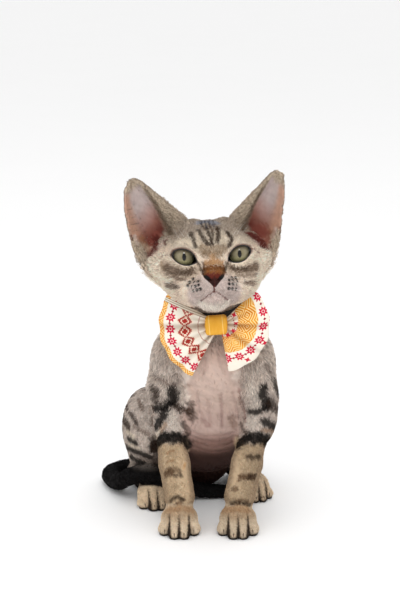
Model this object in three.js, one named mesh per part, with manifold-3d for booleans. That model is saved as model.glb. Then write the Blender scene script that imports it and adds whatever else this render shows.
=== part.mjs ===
// A sitting Devon Rex kitten, life size, with a bow tie on a plain collar.
// Millimetres, +Z up, the kitten looks along -Y and its own left side is at +X.
// The flesh is one smooth field of ellipsoids and tapered limbs, turned into one closed surface,
// thinned where it is plain, and then parted with thin cuts into the pieces a person would name.
import * as THREE from "three";
import { mergeVertices } from "three/addons/utils/BufferGeometryUtils.js";
import Module from "manifold-3d";

const wasm = await Module();
wasm.setup();

// Driving dimensions
const GAP = 0.3; // between two pieces that touch
const GRID = 2; // spacing of the grid that the flesh is read on
const FLESH_TRIANGLES = 6400;
const CENTRING = [13.66, -15.7, 0]; // moves the middle of the footprint to the origin
const EYE_APART = 18.6; // from the middle of the face to each eyeball's centre
const EYE_RADIUS = 9.6;
const EYE_DEPTH = 9.4; // of each eyeball's centre behind the point between the eyes
const CORNEA_RADIUS = 7.4;
const CORNEA_RISE = 1; // of the cornea over the ball
const LID_OPENING = [8.9, 5.6]; // half the width and half the height of the eye's almond
const LID_SLANT = THREE.MathUtils.degToRad(19);
const FOREPAW_X = 20.3;
const HIND_FOOT_X = { [-1]: -36.8, 1: 38.8 };
const EAR_THICKNESS = 1.8;
const BOW_KNOT = [5, -32.6, 145];
const BOW_WINGS_X = 7.6; // where the pleats of both wings would meet
const BOW_THICKNESS = 3.2;
const COLLAR_WIDTH = 8;

// Frames: a place and the turns about Z, X and Y, in degrees, in which a group is described
class Frame {
  constructor(origin, [yaw, pitch, roll]) {
    const turn = new THREE.Euler(...[pitch, roll, yaw].map(THREE.MathUtils.degToRad), "ZXY");
    this.matrix = new THREE.Matrix4().makeRotationFromEuler(turn).setPosition(...origin);
    this.inverse = this.matrix.clone().invert().elements;
  }

  // A point of this frame, in the kitten's frame.
  out(point) {
    return new THREE.Vector3(...point).applyMatrix4(this.matrix).toArray();
  }

  // A field that was described in this frame, read in the kitten's frame.
  field(local) {
    const e = this.inverse;
    return (x, y, z) =>
      local(
        e[0] * x + e[4] * y + e[8] * z + e[12],
        e[1] * x + e[5] * y + e[9] * z + e[13],
        e[2] * x + e[6] * y + e[10] * z + e[14],
      );
  }
}

const HEAD = new Frame([1.9, -47.5, 196.3], [4, -5, -2.6]); // between the eyes
const STANDING = new Frame([0, 0, 0], [0, 0, 0]);
const HIPS = new Frame([-9, 45, 0], [14, 0, 0]); // on the floor under the hips

// Fields: the distance to a surface, negative inside it
function ellipsoid([cx, cy, cz], [rx, ry, rz]) {
  return (x, y, z) => {
    const a = (x - cx) / rx;
    const b = (y - cy) / ry;
    const c = (z - cz) / rz;
    const k0 = Math.sqrt(a * a + b * b + c * c);
    const k1 = Math.sqrt((a / rx) ** 2 + (b / ry) ** 2 + (c / rz) ** 2);
    return k1 > 1e-9 ? (k0 * (k0 - 1)) / k1 : -Math.min(rx, ry, rz);
  };
}

function limb(a, b, ra, rb) {
  const d = [b[0] - a[0], b[1] - a[1], b[2] - a[2]];
  const long = d[0] ** 2 + d[1] ** 2 + d[2] ** 2;
  return (x, y, z) => {
    const p = [x - a[0], y - a[1], z - a[2]];
    const along = (p[0] * d[0] + p[1] * d[1] + p[2] * d[2]) / long;
    const t = Math.min(1, Math.max(0, along));
    const q = [p[0] - t * d[0], p[1] - t * d[1], p[2] - t * d[2]];
    return Math.sqrt(q[0] ** 2 + q[1] ** 2 + q[2] ** 2) - ra - (rb - ra) * t;
  };
}

// A limb through several joints, each given as [x, y, z, radius].
function limbThrough(joints) {
  const parts = joints.slice(1).map((b, i) => limb(joints[i], b, joints[i][3], b[3]));
  return blended(parts.map((part) => [part, 3]));
}

// Joins fields, each given with how softly it melts into the ones before it.
function blended(items) {
  return (x, y, z) => {
    let near = items[0][0](x, y, z);
    for (let i = 1; i < items.length; i++) {
      const next = items[i][0](x, y, z);
      const soft = items[i][1];
      const overlap = Math.max(soft - Math.abs(near - next), 0) / soft;
      near = Math.min(near, next) - overlap * overlap * soft * 0.25;
    }
    return near;
  };
}

// Takes one field out of another with a soft edge.
function hollowed(body, hole, soft) {
  return (x, y, z) => {
    const a = body(x, y, z);
    const b = -hole(x, y, z);
    const overlap = Math.max(soft - Math.abs(a - b), 0) / soft;
    return Math.max(a, b) + overlap * overlap * soft * 0.25;
  };
}

const bothSides = (make) => [-1, 1].flatMap((side) => make(side));

// The hollow at the foot of an ear's cup, in the head's frame
const earHollow = (side) => ellipsoid([side * 37, 10, 9], [9, 16, 10]);

// The head, described from the point between the eyes: x to the kitten's left, y back, z up
function headField() {
  const skull = blended([
    [ellipsoid([0, 27, -3], [29.5, 33, 24.5]), 8],
    [ellipsoid([0, 10, 7], [22, 15, 13.5]), 9],
    ...bothSides((s) => [
      [ellipsoid([s * 20, 13, -11], [13.5, 17, 13]), 7],
      [ellipsoid([s * 17, 17, -21], [14, 18, 12]), 8],
      [ellipsoid([s * 14, 6, 10], [10, 7, 5.5]), 5],
      [ellipsoid([s * 11, 20, 15], [7.5, 10, 8.2]), 5],
      [ellipsoid([s * EYE_APART, 9.4, 0], [11.8, 10.9, 10.6]), 3],
      [ellipsoid([s * 29, 25, -3], [13, 13, 16]), 7],
      [ellipsoid([s * 11, 6, -26.8], [13, 13, 8.2]), 6],
    ]),
    [limb([0, 3, 2], [0, -8, -9], 7.4, 5.6), 5],
    [ellipsoid([0, -1, -18], [13, 12, 10.5]), 6],
    ...bothSides((s) => [[ellipsoid([s * 7.2, -5.6, -21.2], [9, 8.6, 7.2]), 3]]),
    [ellipsoid([0, -10.2, -13], [6, 5.2, 5.6]), 3],
    [ellipsoid([0, -1, -30.6], [10.5, 9, 7]), 2.5],
    [limb([0, 2, -28], [0, 28, -22], 9, 17), 6],
  ]);
  return HEAD.field(hollowed(hollowed(skull, earHollow(-1), 4), earHollow(1), 4));
}

const NECK = [
  [2, -6, 174, 21],
  [2, -3, 150, 22],
  [2, 5, 128, 27],
];

// The trunk: chest, ribs, round belly and the curve of the back
function trunkField() {
  return blended([
    [limbThrough(NECK), 8],
    [ellipsoid([1, 16, 98], [36, 32, 34]), 10],
    [ellipsoid([3, -4, 112], [25, 20, 24]), 12],
    [ellipsoid([-2, 24, 60], [37, 35, 36]), 12],
    [limb([1, 22, 126], [-5, 44, 80], 26, 33), 14],
    [HIPS.field(ellipsoid([0, 14, 38], [37, 33, 39.5])), 14],
    [HIPS.field(ellipsoid([0, 28, 20], [25, 23, 22])), 10],
  ]);
}

// The left elbow, which stands out from the ribs
const LEFT_ELBOW = { centre: [37, 4, 75], radii: [13, 15, 25], soft: 7 };

// One foreleg from shoulder to wrist. side is -1 for the kitten's right.
function forelegField(side) {
  const lean = side > 0 ? 3 : 0; // the left shoulder is the wider one
  const x = (at, share = 0) => side * at + share * lean;
  return blended([
    [ellipsoid([x(27, 2), 3, 106], [14, 19, 27]), 8],
    [limbThrough([[x(28.5, 1), -4, 92, 14.6], [x(28.5, 1), 1, 66, 11]]), 8],
    [limbThrough([[x(27.5, 1.4), -3, 60, 9.8], [x(24, 1), -19, 42, 10.5], [x(FOREPAW_X, 0.4), -32, 22, 10.6]]), 5],
    ...(side > 0 ? [[ellipsoid(LEFT_ELBOW.centre, LEFT_ELBOW.radii), LEFT_ELBOW.soft]] : []),
  ]);
}

// A paw that points along -Y: width is from toe to toe, long from the middle to the longest toe.
const toesOf = (width, long) =>
  [-1.5, -0.5, 0.5, 1.5].map((n) => [n * width, long * (Math.abs(n) < 1 ? 1 : 0.64)]);

// Four toes in a row, each a long knuckle that bends to the floor, over one broad pad.
function pawField([x, y], width, long) {
  const at = (across, forward, z) => [x + across, y - forward, z];
  const toes = toesOf(width, long).flatMap(([across, tip]) => [
    [limb(at(across * 0.8, tip - 11, 8.6), at(across, tip - 5.4, 5), 4.6, 4.8), 1.4],
    [limb(at(across, tip - 6.6, 4.6), at(across, tip - 4, 3), 4.6, 3.9), 1.1],
  ]);
  return blended([
    [limb(at(0, -6, 8), at(0, 2, 8.4), 10.4, 9), 4],
    [ellipsoid(at(0, 4, 5.4), [width * 1.75, width * 1.75, 6]), 4],
    [ellipsoid(at(0, -1, 10), [width * 1.9, 12.5, 9]), 4],
    ...toes,
  ]);
}

// A folded hind leg: thigh, shank and the foot flat on the floor.
function hindLegField(side) {
  const s = side;
  const leg = blended([
    [ellipsoid([s * 34, 4, 50], [20, 31, 31]), 8],
    [limb([s * 36, -14, 45], [s * 38, 6, 18], 14, 10), 8],
    [limb([s * 36.5, 30, 10], [HIND_FOOT_X[s] - s * 0.5, -12, 8], 9.4, 8.2), 5],
  ]);
  return HIPS.field(leg);
}

const FOREPAW = { centre: (s) => [s * FOREPAW_X, -40], width: 6.7, long: 20.5 };
const HIND_PAW = { centre: (s) => [HIND_FOOT_X[s], -22], width: 5.8, long: 16 };
const forePawField = (s) => pawField(FOREPAW.centre(s), FOREPAW.width, FOREPAW.long);
const hindPawField = (s) => HIPS.field(pawField(HIND_PAW.centre(s), HIND_PAW.width, HIND_PAW.long));

const FLOOR_SINK = 0.9; // how far the flesh reaches under the floor before it is cut flat
const sunk = (field) => (x, y, z) => field(x, y, z + FLOOR_SINK);

const flesh = blended([
  [trunkField(), 1],
  [headField(), 7],
  ...bothSides((s) => [
    [forelegField(s), 7],
    [hindLegField(s), 6],
    [sunk(forePawField(s)), 4],
    [sunk(hindPawField(s)), 4],
  ]),
]);

// Surface reading: one point in each grid cell that the surface crosses, and a quad across each grid edge
function readSurface(field, low, high, step) {
  const count = low.map((v, i) => Math.ceil((high[i] - v) / step) + 1);
  const [nx, ny, nz] = count;
  const place = (i, j, k) => i + nx * (j + ny * k);
  const value = new Float32Array(nx * ny * nz);
  for (let k = 0; k < nz; k++)
    for (let j = 0; j < ny; j++)
      for (let i = 0; i < nx; i++)
        value[place(i, j, k)] = field(low[0] + i * step, low[1] + j * step, low[2] + k * step);
  const corners = Array.from({ length: 8 }, (_, c) => [c & 1, (c >> 1) & 1, c >> 2]);
  const edges = corners.flatMap((_, c) => [1, 2, 4].filter((b) => !(c & b)).map((b) => [c, c | b]));
  const pointOf = new Int32Array(nx * ny * nz).fill(-1);
  const points = [];
  for (let k = 0; k < nz - 1; k++)
    for (let j = 0; j < ny - 1; j++)
      for (let i = 0; i < nx - 1; i++) {
        const v = corners.map(([a, b, c]) => value[place(i + a, j + b, k + c)]);
        const crossed = edges.filter(([a, b]) => v[a] < 0 !== v[b] < 0);
        if (!crossed.length) continue;
        const sum = [0, 0, 0];
        for (const [a, b] of crossed) {
          const t = v[a] / (v[a] - v[b]);
          for (let d = 0; d < 3; d++) sum[d] += corners[a][d] + t * (corners[b][d] - corners[a][d]);
        }
        const cell = [i, j, k];
        pointOf[place(i, j, k)] = points.length;
        points.push(sum.map((s, d) => low[d] + (cell[d] + s / crossed.length) * step));
      }
  const faces = [];
  const strides = [1, nx, nx * ny];
  for (let k = 1; k < nz - 1; k++)
    for (let j = 1; j < ny - 1; j++)
      for (let i = 1; i < nx - 1; i++) {
        const at = place(i, j, k);
        for (let d = 0; d < 3; d++) {
          const inside = value[at] < 0;
          if (inside === value[at + strides[d]] < 0) continue;
          const [u, w] = [strides[(d + 1) % 3], strides[(d + 2) % 3]];
          const quad = [at, at - u, at - u - w, at - w].map((c) => pointOf[c]);
          if (!inside) quad.reverse();
          faces.push([quad[0], quad[1], quad[2]], [quad[0], quad[2], quad[3]]);
        }
      }
  return { points, faces };
}

// Draws each point onto the true surface.
function settle(mesh, field, rounds) {
  const e = 0.05;
  for (let n = 0; n < rounds; n++)
    for (const p of mesh.points) {
      const [x, y, z] = p;
      const f = field(x, y, z);
      const g = [field(x + e, y, z) - f, field(x, y + e, z) - f, field(x, y, z + e) - f].map((v) => v / e);
      const steep = Math.max(g[0] ** 2 + g[1] ** 2 + g[2] ** 2, 0.2);
      for (let d = 0; d < 3; d++) p[d] -= (0.8 * f * g[d]) / steep;
    }
}

const TINY = 0.02; // edges under this are only left over from cuts

// Thinning: collapses the edges that change the shape least until target faces are left.
// weight(point) says how much a place matters, even keeps the triangles of one size,
// and no collapse may change the shape by more than limit.
function thinned({ points, faces }, target, weight = () => 1, even = 0.0015, limit = Infinity) {
  const P = points.map((p) => [...p]);
  const F = faces.map((f) => [...f]);
  const alive = new Uint8Array(F.length).fill(1);
  const around = P.map(() => []);
  F.forEach((f, i) => f.forEach((v) => around[v].push(i)));
  const cross = (a, b, c) => {
    const u = [b[0] - a[0], b[1] - a[1], b[2] - a[2]];
    const w = [c[0] - a[0], c[1] - a[1], c[2] - a[2]];
    return [u[1] * w[2] - u[2] * w[1], u[2] * w[0] - u[0] * w[2], u[0] * w[1] - u[1] * w[0]];
  };
  const Q = P.map(() => new Float64Array(10));
  for (const f of F) {
    const n = cross(...f.map((v) => P[v]));
    const size = Math.hypot(...n) || 1e-12;
    const [a, b, c] = n.map((v) => v / size);
    const d = -(a * P[f[0]][0] + b * P[f[0]][1] + c * P[f[0]][2]);
    const plane = [a * a, a * b, a * c, a * d, b * b, b * c, b * d, c * c, c * d, d * d];
    for (const v of f) plane.forEach((q, i) => (Q[v][i] += (q * size * weight(P[v])) / 2));
  }
  const errorAt = (q, [x, y, z]) =>
    q[0] * x * x + 2 * q[1] * x * y + 2 * q[2] * x * z + 2 * q[3] * x + q[4] * y * y +
    2 * q[5] * y * z + 2 * q[6] * y + q[7] * z * z + 2 * q[8] * z + q[9];
  const version = new Int32Array(P.length);
  const heap = [];
  const push = (item) => {
    let i = heap.push(item) - 1;
    while (i > 0) {
      const up = (i - 1) >> 1;
      if (heap[up].cost <= item.cost) break;
      heap[i] = heap[up];
      i = up;
    }
    heap[i] = item;
  };
  const pop = () => {
    const top = heap[0];
    const last = heap.pop();
    if (!heap.length) return top;
    let i = 0;
    for (;;) {
      let down = 2 * i + 1;
      if (down >= heap.length) break;
      if (down + 1 < heap.length && heap[down + 1].cost < heap[down].cost) down++;
      if (heap[down].cost >= last.cost) break;
      heap[i] = heap[down];
      i = down;
    }
    heap[i] = last;
    return top;
  };
  const offer = (a, b) => {
    const q = Q[a].map((v, i) => v + Q[b][i]);
    const mid = P[a].map((v, i) => (v + P[b][i]) / 2);
    const long = P[a].reduce((s, v, i) => s + (v - P[b][i]) ** 2, 0);
    let best = mid;
    let cost = errorAt(q, mid);
    for (const p of [P[a], P[b]]) {
      const other = errorAt(q, p);
      if (other < cost) [best, cost] = [[...p], other];
    }
    cost += even * long * weight(mid);
    push({ cost, a, b, at: best, va: version[a], vb: version[b] });
  };
  const neighbours = (v) => new Set(around[v].flatMap((f) => F[f]).filter((o) => o !== v));
  P.forEach((_, v) => neighbours(v).forEach((o) => v < o && offer(v, o)));
  let left = F.length;
  while (left > target && heap.length) {
    const { a, b, at, va, vb, cost } = pop();
    if (cost > limit) break;
    if (version[a] !== va || version[b] !== vb) continue;
    const shared = [...neighbours(a)].filter((v) => neighbours(b).has(v));
    if (shared.length !== 2) continue;
    const tiny = Math.hypot(...P[a].map((v, i) => v - P[b][i])) < TINY;
    const turns = !tiny && [a, b].some((v) =>
      around[v].some((f) => {
        if (F[f].includes(a) && F[f].includes(b)) return false;
        const before = cross(...F[f].map((o) => P[o]));
        const after = cross(...F[f].map((o) => (o === v ? at : P[o])));
        const dot = before.reduce((s, n, i) => s + n * after[i], 0);
        return dot < 0.3 * Math.hypot(...before) * Math.hypot(...after);
      }),
    );
    if (turns) continue;
    for (const f of around[b].filter((g) => F[g].includes(a))) {
      alive[f] = 0;
      left--;
      F[f].forEach((v) => (around[v] = around[v].filter((g) => g !== f)));
    }
    for (const f of around[b]) F[f] = F[f].map((v) => (v === b ? a : v));
    around[a] = [...around[a], ...around[b]];
    around[b] = [];
    P[a] = at;
    Q[a] = Q[a].map((v, i) => v + Q[b][i]);
    version[a]++;
    version[b]++;
    neighbours(a).forEach((o) => offer(a, o));
  }
  return { points: P, faces: F.filter((_, i) => alive[i]) };
}

// Solids: closed meshes that manifold-3d joins and cuts
function solidOf({ points, faces }) {
  const used = new Map();
  faces.flat().forEach((v) => used.has(v) || used.set(v, used.size));
  const vertProperties = new Float32Array([...used.keys()].flatMap((v) => points[v]));
  const triVerts = new Uint32Array(faces.flat().map((v) => used.get(v)));
  return new wasm.Manifold(new wasm.Mesh({ numProp: 3, vertProperties, triVerts }));
}

function solidOfGeometry(geometry, matrix = new THREE.Matrix4()) {
  const bare = new THREE.BufferGeometry();
  bare.setAttribute("position", geometry.getAttribute("position").clone());
  if (geometry.index) bare.setIndex(geometry.index.clone());
  const merged = mergeVertices(bare.applyMatrix4(matrix), 1e-4);
  const vertProperties = merged.attributes.position.array;
  return new wasm.Manifold(
    new wasm.Mesh({ numProp: 3, vertProperties, triVerts: new Uint32Array(merged.index.array) }),
  );
}

function largest(solid) {
  return solid.decompose().sort((a, b) => b.volume() - a.volume())[0];
}

function meshOf(solid) {
  const { vertProperties, triVerts, numProp } = solid.getMesh();
  const points = [];
  for (let i = 0; i < vertProperties.length; i += numProp) points.push([...vertProperties.slice(i, i + 3)]);
  const faces = [];
  for (let i = 0; i < triVerts.length; i += 3) faces.push([...triVerts.slice(i, i + 3)]);
  return { points, faces };
}

// The same surface moved outwards.
function grown(solid, by) {
  const { points, faces } = meshOf(solid);
  const normals = points.map(() => new THREE.Vector3());
  for (const f of faces) {
    const [a, b, c] = f.map((v) => new THREE.Vector3(...points[v]));
    const n = b.sub(a).cross(c.sub(a));
    f.forEach((v) => normals[v].add(n));
  }
  const moved = points.map((p, i) => {
    const n = normals[i].normalize();
    return [p[0] + n.x * by, p[1] + n.y * by, p[2] + n.z * by];
  });
  return solidOf({ points: moved, faces });
}

// A slab of the gap's thickness across a frame's XY plane, and everything above or below it.
const HALF_SPACE = 400;
function above(frame, from = 0) {
  const box = new THREE.BoxGeometry(HALF_SPACE, HALF_SPACE, HALF_SPACE);
  box.translate(0, 0, HALF_SPACE / 2 + from);
  return solidOfGeometry(box, frame.matrix);
}

// Parts a solid at a frame's XY plane into what is above it and what is below it.
function parted(solid, frame) {
  return [solid.intersect(above(frame, GAP / 2)), solid.subtract(above(frame, -GAP / 2))];
}

// Takes what lies in a region out of a solid, and leaves the gap round it.
function taken(solid, region) {
  return [solid.intersect(region), solid.subtract(grown(region, GAP))];
}

const SLIVER_LIMIT = 2.5e-3;
const NUDGE = 0.006;
const nodes = new THREE.Group();
const materials = {};

function material(name, color, roughness) {
  materials[name] ??= new THREE.MeshStandardMaterial({ name, color, roughness, metalness: 0 });
  return materials[name];
}

// Two corners that a cut leaves in one place are nudged apart.
function keptApart(mesh) {
  const order = [...mesh.points].sort((a, b) => a[0] - b[0]);
  order.forEach((p, i) => {
    for (let j = i + 1; j < order.length && order[j][0] - p[0] < NUDGE / 2; j++) {
      const q = order[j];
      if (Math.hypot(q[0] - p[0], q[1] - p[1], q[2] - p[2]) > NUDGE / 2) continue;
      q[1] += NUDGE;
      q[2] += NUDGE * (q[2] > 1 ? 0.7 : 0);
    }
  });
  return mesh;
}

// Slivers that the cuts leave are thinned out as a piece is added.
function addNode(name, solid, finish) {
  const clean = keptApart(thinned(meshOf(largest(solid)), 0, () => 1, 1e-7, SLIVER_LIMIT));
  const { vertProperties, triVerts, numProp } = solidOf(clean).getMesh();
  const geometry = new THREE.BufferGeometry();
  const flat = [];
  for (let i = 0; i < vertProperties.length; i += numProp) flat.push(...vertProperties.slice(i, i + 3));
  geometry.setAttribute("position", new THREE.Float32BufferAttribute(flat, 3));
  geometry.setIndex([...triVerts]);
  geometry.computeVertexNormals();
  const mesh = new THREE.Mesh(geometry, finish);
  mesh.name = name;
  nodes.add(mesh);
}

const coat = material("coat", 0xa79a8c, 0.9);
const darkCoat = material("dark coat", 0x1d1a19, 0.85);
const bareSkin = material("bare skin", 0xb08f86, 0.7);
const noseLeather = material("nose leather", 0x7c3a30, 0.5);
const eyeball = material("eyeball", 0x8f9a6a, 0.08);
const bowCloth = material("bow cloth", 0xe8dcc4, 0.85);
const knotCloth = material("knot cloth", 0xe0a128, 0.85);
const strap = material("strap", 0x141414, 0.6);

// The whole body, cut flat where it stands
function wholeBody() {
  const low = [-82, -80, -9];
  const high = [70, 108, 236];
  const importance = ([x, y, z]) => {
    const face = z > 150 && y < -22;
    const paw = z < 16 && (y < -28 || (y < 32 && (x < -28 || x > 26)));
    return face ? 26 : paw ? 14 : z > 160 ? 3 : 1;
  };
  const fine = readSurface(flesh, low, high, GRID);
  settle(fine, flesh, 3);
  const body = solidOf(thinned(fine, FLESH_TRIANGLES, importance));
  return body.intersect(above(STANDING));
}

// A coarse solid of a field, for a region that parts a limb from the trunk.
function regionOf(field, low, high, reach) {
  const wide = (x, y, z) => field(x, y, z) - reach;
  return solidOf(thinned(readSurface(wide, low, high, 5), 160));
}

// Eyes: a ball with the cornea standing proud of it, behind an almond opening between the lids
function eyeSolid(side) {
  const ball = new THREE.SphereGeometry(EYE_RADIUS, 16, 10).rotateX(Math.PI / 2);
  const cornea = new THREE.SphereGeometry(CORNEA_RADIUS, 16, 11).rotateX(Math.PI / 2);
  cornea.translate(0, -(EYE_RADIUS + CORNEA_RISE - CORNEA_RADIUS), 0);
  const place = HEAD.matrix.clone().multiply(
    new THREE.Matrix4().makeTranslation(side * EYE_APART, EYE_DEPTH, 0),
  );
  return solidOfGeometry(ball, place).add(solidOfGeometry(cornea, place));
}

function lidOpening(side) {
  const [wide, high] = LID_OPENING;
  const outline = new THREE.Shape();
  for (let i = 0; i < 24; i++) {
    const turn = (2 * Math.PI * i) / 24;
    const across = wide * Math.cos(turn);
    const up = high * Math.sin(turn) * Math.abs(Math.sin(turn)) ** 0.25;
    if (i) outline.lineTo(across, up);
    else outline.moveTo(across, up);
  }
  const prism = new THREE.ExtrudeGeometry(outline, { depth: 30, bevelEnabled: false });
  prism.rotateZ(side * LID_SLANT).rotateX(Math.PI / 2).translate(side * EYE_APART, 5, 0);
  return solidOfGeometry(prism, HEAD.matrix);
}

// A tube through points of [x, y, z, radius], closed at both ends.
function tube(points, sides, steps) {
  const path = new THREE.CatmullRomCurve3(points.map((p) => new THREE.Vector3(...p)));
  const radii = new THREE.CatmullRomCurve3(points.map((p, i) => new THREE.Vector3(p[3], i, 0)));
  const frames = path.computeFrenetFrames(steps, false);
  const rings = [];
  for (let i = 0; i <= steps; i++) {
    const centre = path.getPoint(i / steps);
    const radius = radii.getPoint(i / steps).x;
    for (let j = 0; j < sides; j++) {
      const turn = (2 * Math.PI * j) / sides;
      const out = frames.normals[i].clone().multiplyScalar(Math.cos(turn) * radius);
      out.addScaledVector(frames.binormals[i], Math.sin(turn) * radius);
      rings.push(centre.clone().add(out).toArray());
    }
  }
  const faces = [];
  for (let i = 0; i < steps; i++)
    for (let j = 0; j < sides; j++) {
      const k = (j + 1) % sides;
      const [a, b, c, d] = [i * sides + j, i * sides + k, (i + 1) * sides + k, (i + 1) * sides + j];
      faces.push([a, b, c], [a, c, d]);
    }
  const last = steps * sides;
  for (let j = 1; j < sides - 1; j++) faces.push([0, j + 1, j], [last, last + j, last + j + 1]);
  return solidOf({ points: rings, faces });
}

// The point of the face that is seen straight ahead at x and z of the head's frame.
const headSurface = headField();
function onFace(x, z, deeper = 0) {
  let y = -30;
  while (headSurface(...HEAD.out([x, y, z])) > 0 && y < 40) y += 0.2;
  return HEAD.out([x, y + deeper, z]);
}

// The line of the mouth: down from the nose, then along under both whisker pads
function mouthLine() {
  const groove = (path) => tube(path.map(([x, z, r]) => [...onFace(x, z), r]), 6, 10);
  const philtrum = groove([[0, -17.6, 0.5], [0, -19.6, 0.7], [0, -22.4, 0.8]]);
  const lips = [-1, 1].map((s) =>
    groove([[0, -21.8, 0.8], [s * 3.2, -24, 0.9], [s * 6.2, -26.8, 0.9], [s * 8.8, -28.7, 0.7], [s * 10.6, -29, 0.4]]),
  );
  return philtrum.add(lips[0]).add(lips[1]);
}

function nostril(side) {
  const hole = new THREE.SphereGeometry(1, 10, 8).scale(1.5, 2.4, 1.05).rotateY(side * 0.5);
  const [x, y, z] = onFace(side * 3.1, -14.6, 0.2);
  return solidOfGeometry(hole, new THREE.Matrix4().makeTranslation(x, y, z));
}

// A sheet of given thickness: middle(u, v) gives its middle, for u and v from 0 to 1.
function sheet(middle, thickness, across, along) {
  const e = 1e-3;
  const sides = [[], []];
  for (let i = 0; i <= across; i++)
    for (let j = 0; j <= along; j++) {
      const [u, v] = [i / across, j / along];
      const at = new THREE.Vector3(...middle(u, v));
      const du = new THREE.Vector3(...middle(u + e, v)).sub(new THREE.Vector3(...middle(u - e, v)));
      const dv = new THREE.Vector3(...middle(u, v + e)).sub(new THREE.Vector3(...middle(u, v - e)));
      const normal = du.cross(dv).normalize().multiplyScalar(thickness(u, v) / 2);
      sides[0].push(at.clone().add(normal).toArray());
      sides[1].push(at.clone().sub(normal).toArray());
    }
  const size = sides[0].length;
  const place = (side, i, j) => side * size + i * (along + 1) + j;
  const faces = [];
  const quad = (a, b, c, d) => faces.push([a, b, c], [a, c, d]);
  for (let i = 0; i < across; i++)
    for (let j = 0; j < along; j++) {
      quad(place(0, i, j), place(0, i + 1, j), place(0, i + 1, j + 1), place(0, i, j + 1));
      quad(place(1, i, j), place(1, i, j + 1), place(1, i + 1, j + 1), place(1, i + 1, j));
    }
  for (let i = 0; i < across; i++) {
    quad(place(0, i, 0), place(1, i, 0), place(1, i + 1, 0), place(0, i + 1, 0));
    quad(place(0, i + 1, along), place(1, i + 1, along), place(1, i, along), place(0, i, along));
  }
  for (let j = 0; j < along; j++) {
    quad(place(0, 0, j + 1), place(1, 0, j + 1), place(1, 0, j), place(0, 0, j));
    quad(place(0, across, j), place(1, across, j), place(1, across, j + 1), place(0, across, j + 1));
  }
  return solidOf({ points: sides.flat(), faces });
}

// Reads a row of stations [at, value, value, ...] at any place, straight between stations.
function between(stations, at) {
  let i = 1;
  while (i < stations.length - 1 && stations[i][0] < at) i++;
  const [low, high] = [stations[i - 1], stations[i]];
  const t = (at - low[0]) / (high[0] - low[0]);
  return low.slice(1).map((v, n) => v + t * (high[n + 1] - v));
}

// Ears: large, low and wide set, an open cup from the top of the skull round to the cheek.
// Each station: how far up the ear, the inner rim, the outer rim and the depth of the cup.
const EAR_STATIONS = [
  [0, 13, 12, 12, 30, 23, -24, 17],
  [0.14, 15.4, 12, 24, 44, 22.5, -12, 19],
  [0.35, 24.4, 12.6, 32.2, 52.4, 23.5, 4, 17.5],
  [0.55, 33, 15, 40.4, 55.4, 24.5, 20, 14],
  [0.75, 40.4, 18.5, 47, 56.8, 25.5, 33, 9],
  [0.9, 44.4, 22, 50.4, 56, 25.8, 43, 4.6],
  [1, 47.2, 24.5, 51.6, 53.2, 25.4, 49, 1.6],
];

const EAR_CREST = { from: 0.8, rise: 1.5 }; // the round tip, above the straight line between the rims
const EAR_NARROWING = { [-1]: 1.6, 1: 5 }; // of the outer rim, the left ear stands more edge on

function earSolid(side) {
  const middle = (u, v) => {
    const [mx, my, mz, wide, ly, lz, deep] = between(EAR_STATIONS, v);
    const lx = wide - EAR_NARROWING[side] * Math.sqrt(Math.max(0, Math.sin(Math.PI * v)));
    const arch = Math.sin(Math.PI * Math.min(1, Math.max(0, u)));
    const bowl = deep * arch ** 0.8;
    const crest = EAR_CREST.rise * arch * Math.max(0, (v - EAR_CREST.from) / (1 - EAR_CREST.from));
    const x = mx + u * (lx - mx) - 0.22 * bowl;
    const y = my + u * (ly - my) + 0.95 * bowl;
    const z = mz + u * (lz - mz) - 0.12 * bowl + crest;
    return HEAD.out([side * x, y, z]);
  };
  const thickness = (u) => EAR_THICKNESS * (0.55 + 0.45 * Math.sin(Math.PI * u));
  return sheet(middle, thickness, 10, 10);
}

// Tail: round the right side, a tight bend, over the right hind toes and in under the belly
const TAIL = [
  [-2, 64, 19, 11.5],
  [-13, 79, 11, 9.4],
  [-30, 87, 8, 8],
  [-50, 85, 7, 7.5],
  [-65, 79, 6.6, 7.1],
  [-73.2, 68, 6.4, 6.9],
  [-70.5, 53, 6.8, 6.8],
  [-65, 37, 10.5, 6.8],
  [-57.5, 23.5, 18.4, 6.7],
  [-45, 14, 24, 6.7],
  [-31, 15.5, 20, 6.4],
  [-16, 22, 11.5, 6.1],
  [0, 28, 6.2, 5.8],
  [13, 30.5, 5, 5.4],
  [21, 31, 4.6, 4.8],
  [26, 30.6, 4, 3],
];
const TAIL_CUTS = [0.27, 0.47, 0.72];

// Bow tie: two pleated wings on a knot. Angles run anticlockwise from the kitten's left.
function bowWing({ from, to, reach, folds, lift }) {
  const middle = (u, v) => {
    const turn = THREE.MathUtils.degToRad(from + (to - from) * u);
    const out = 5 + (reach - 5) * v;
    const swell = Math.sqrt(Math.max(0, Math.sin(Math.PI * u)));
    const pleat = 1.9 * v * Math.cos(2 * Math.PI * folds * u);
    const forward = lift * Math.sin((Math.PI * v) / 1.25) * swell;
    const [, y, z] = BOW_KNOT;
    return [BOW_WINGS_X + out * Math.cos(turn), y + 1.5 - forward + pleat, z + out * Math.sin(turn) * 0.98];
  };
  return sheet(middle, () => BOW_THICKNESS, 26, 4);
}

function knotSolid() {
  const ball = new THREE.SphereGeometry(1, 14, 10).scale(8.2, 6.4, 6.8);
  const pinch = (v) => Math.sign(v) * Math.abs(v) ** 0.75;
  const place = ball.attributes.position;
  for (let i = 0; i < place.count; i++) {
    const x = 8.2 * pinch(place.getX(i) / 8.2);
    place.setXYZ(i, x, place.getY(i), 6.8 * pinch(place.getZ(i) / 6.8));
  }
  ball.rotateY(-0.07).translate(...BOW_KNOT);
  return solidOfGeometry(ball);
}

const body = wholeBody();
let rest = body;

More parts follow.
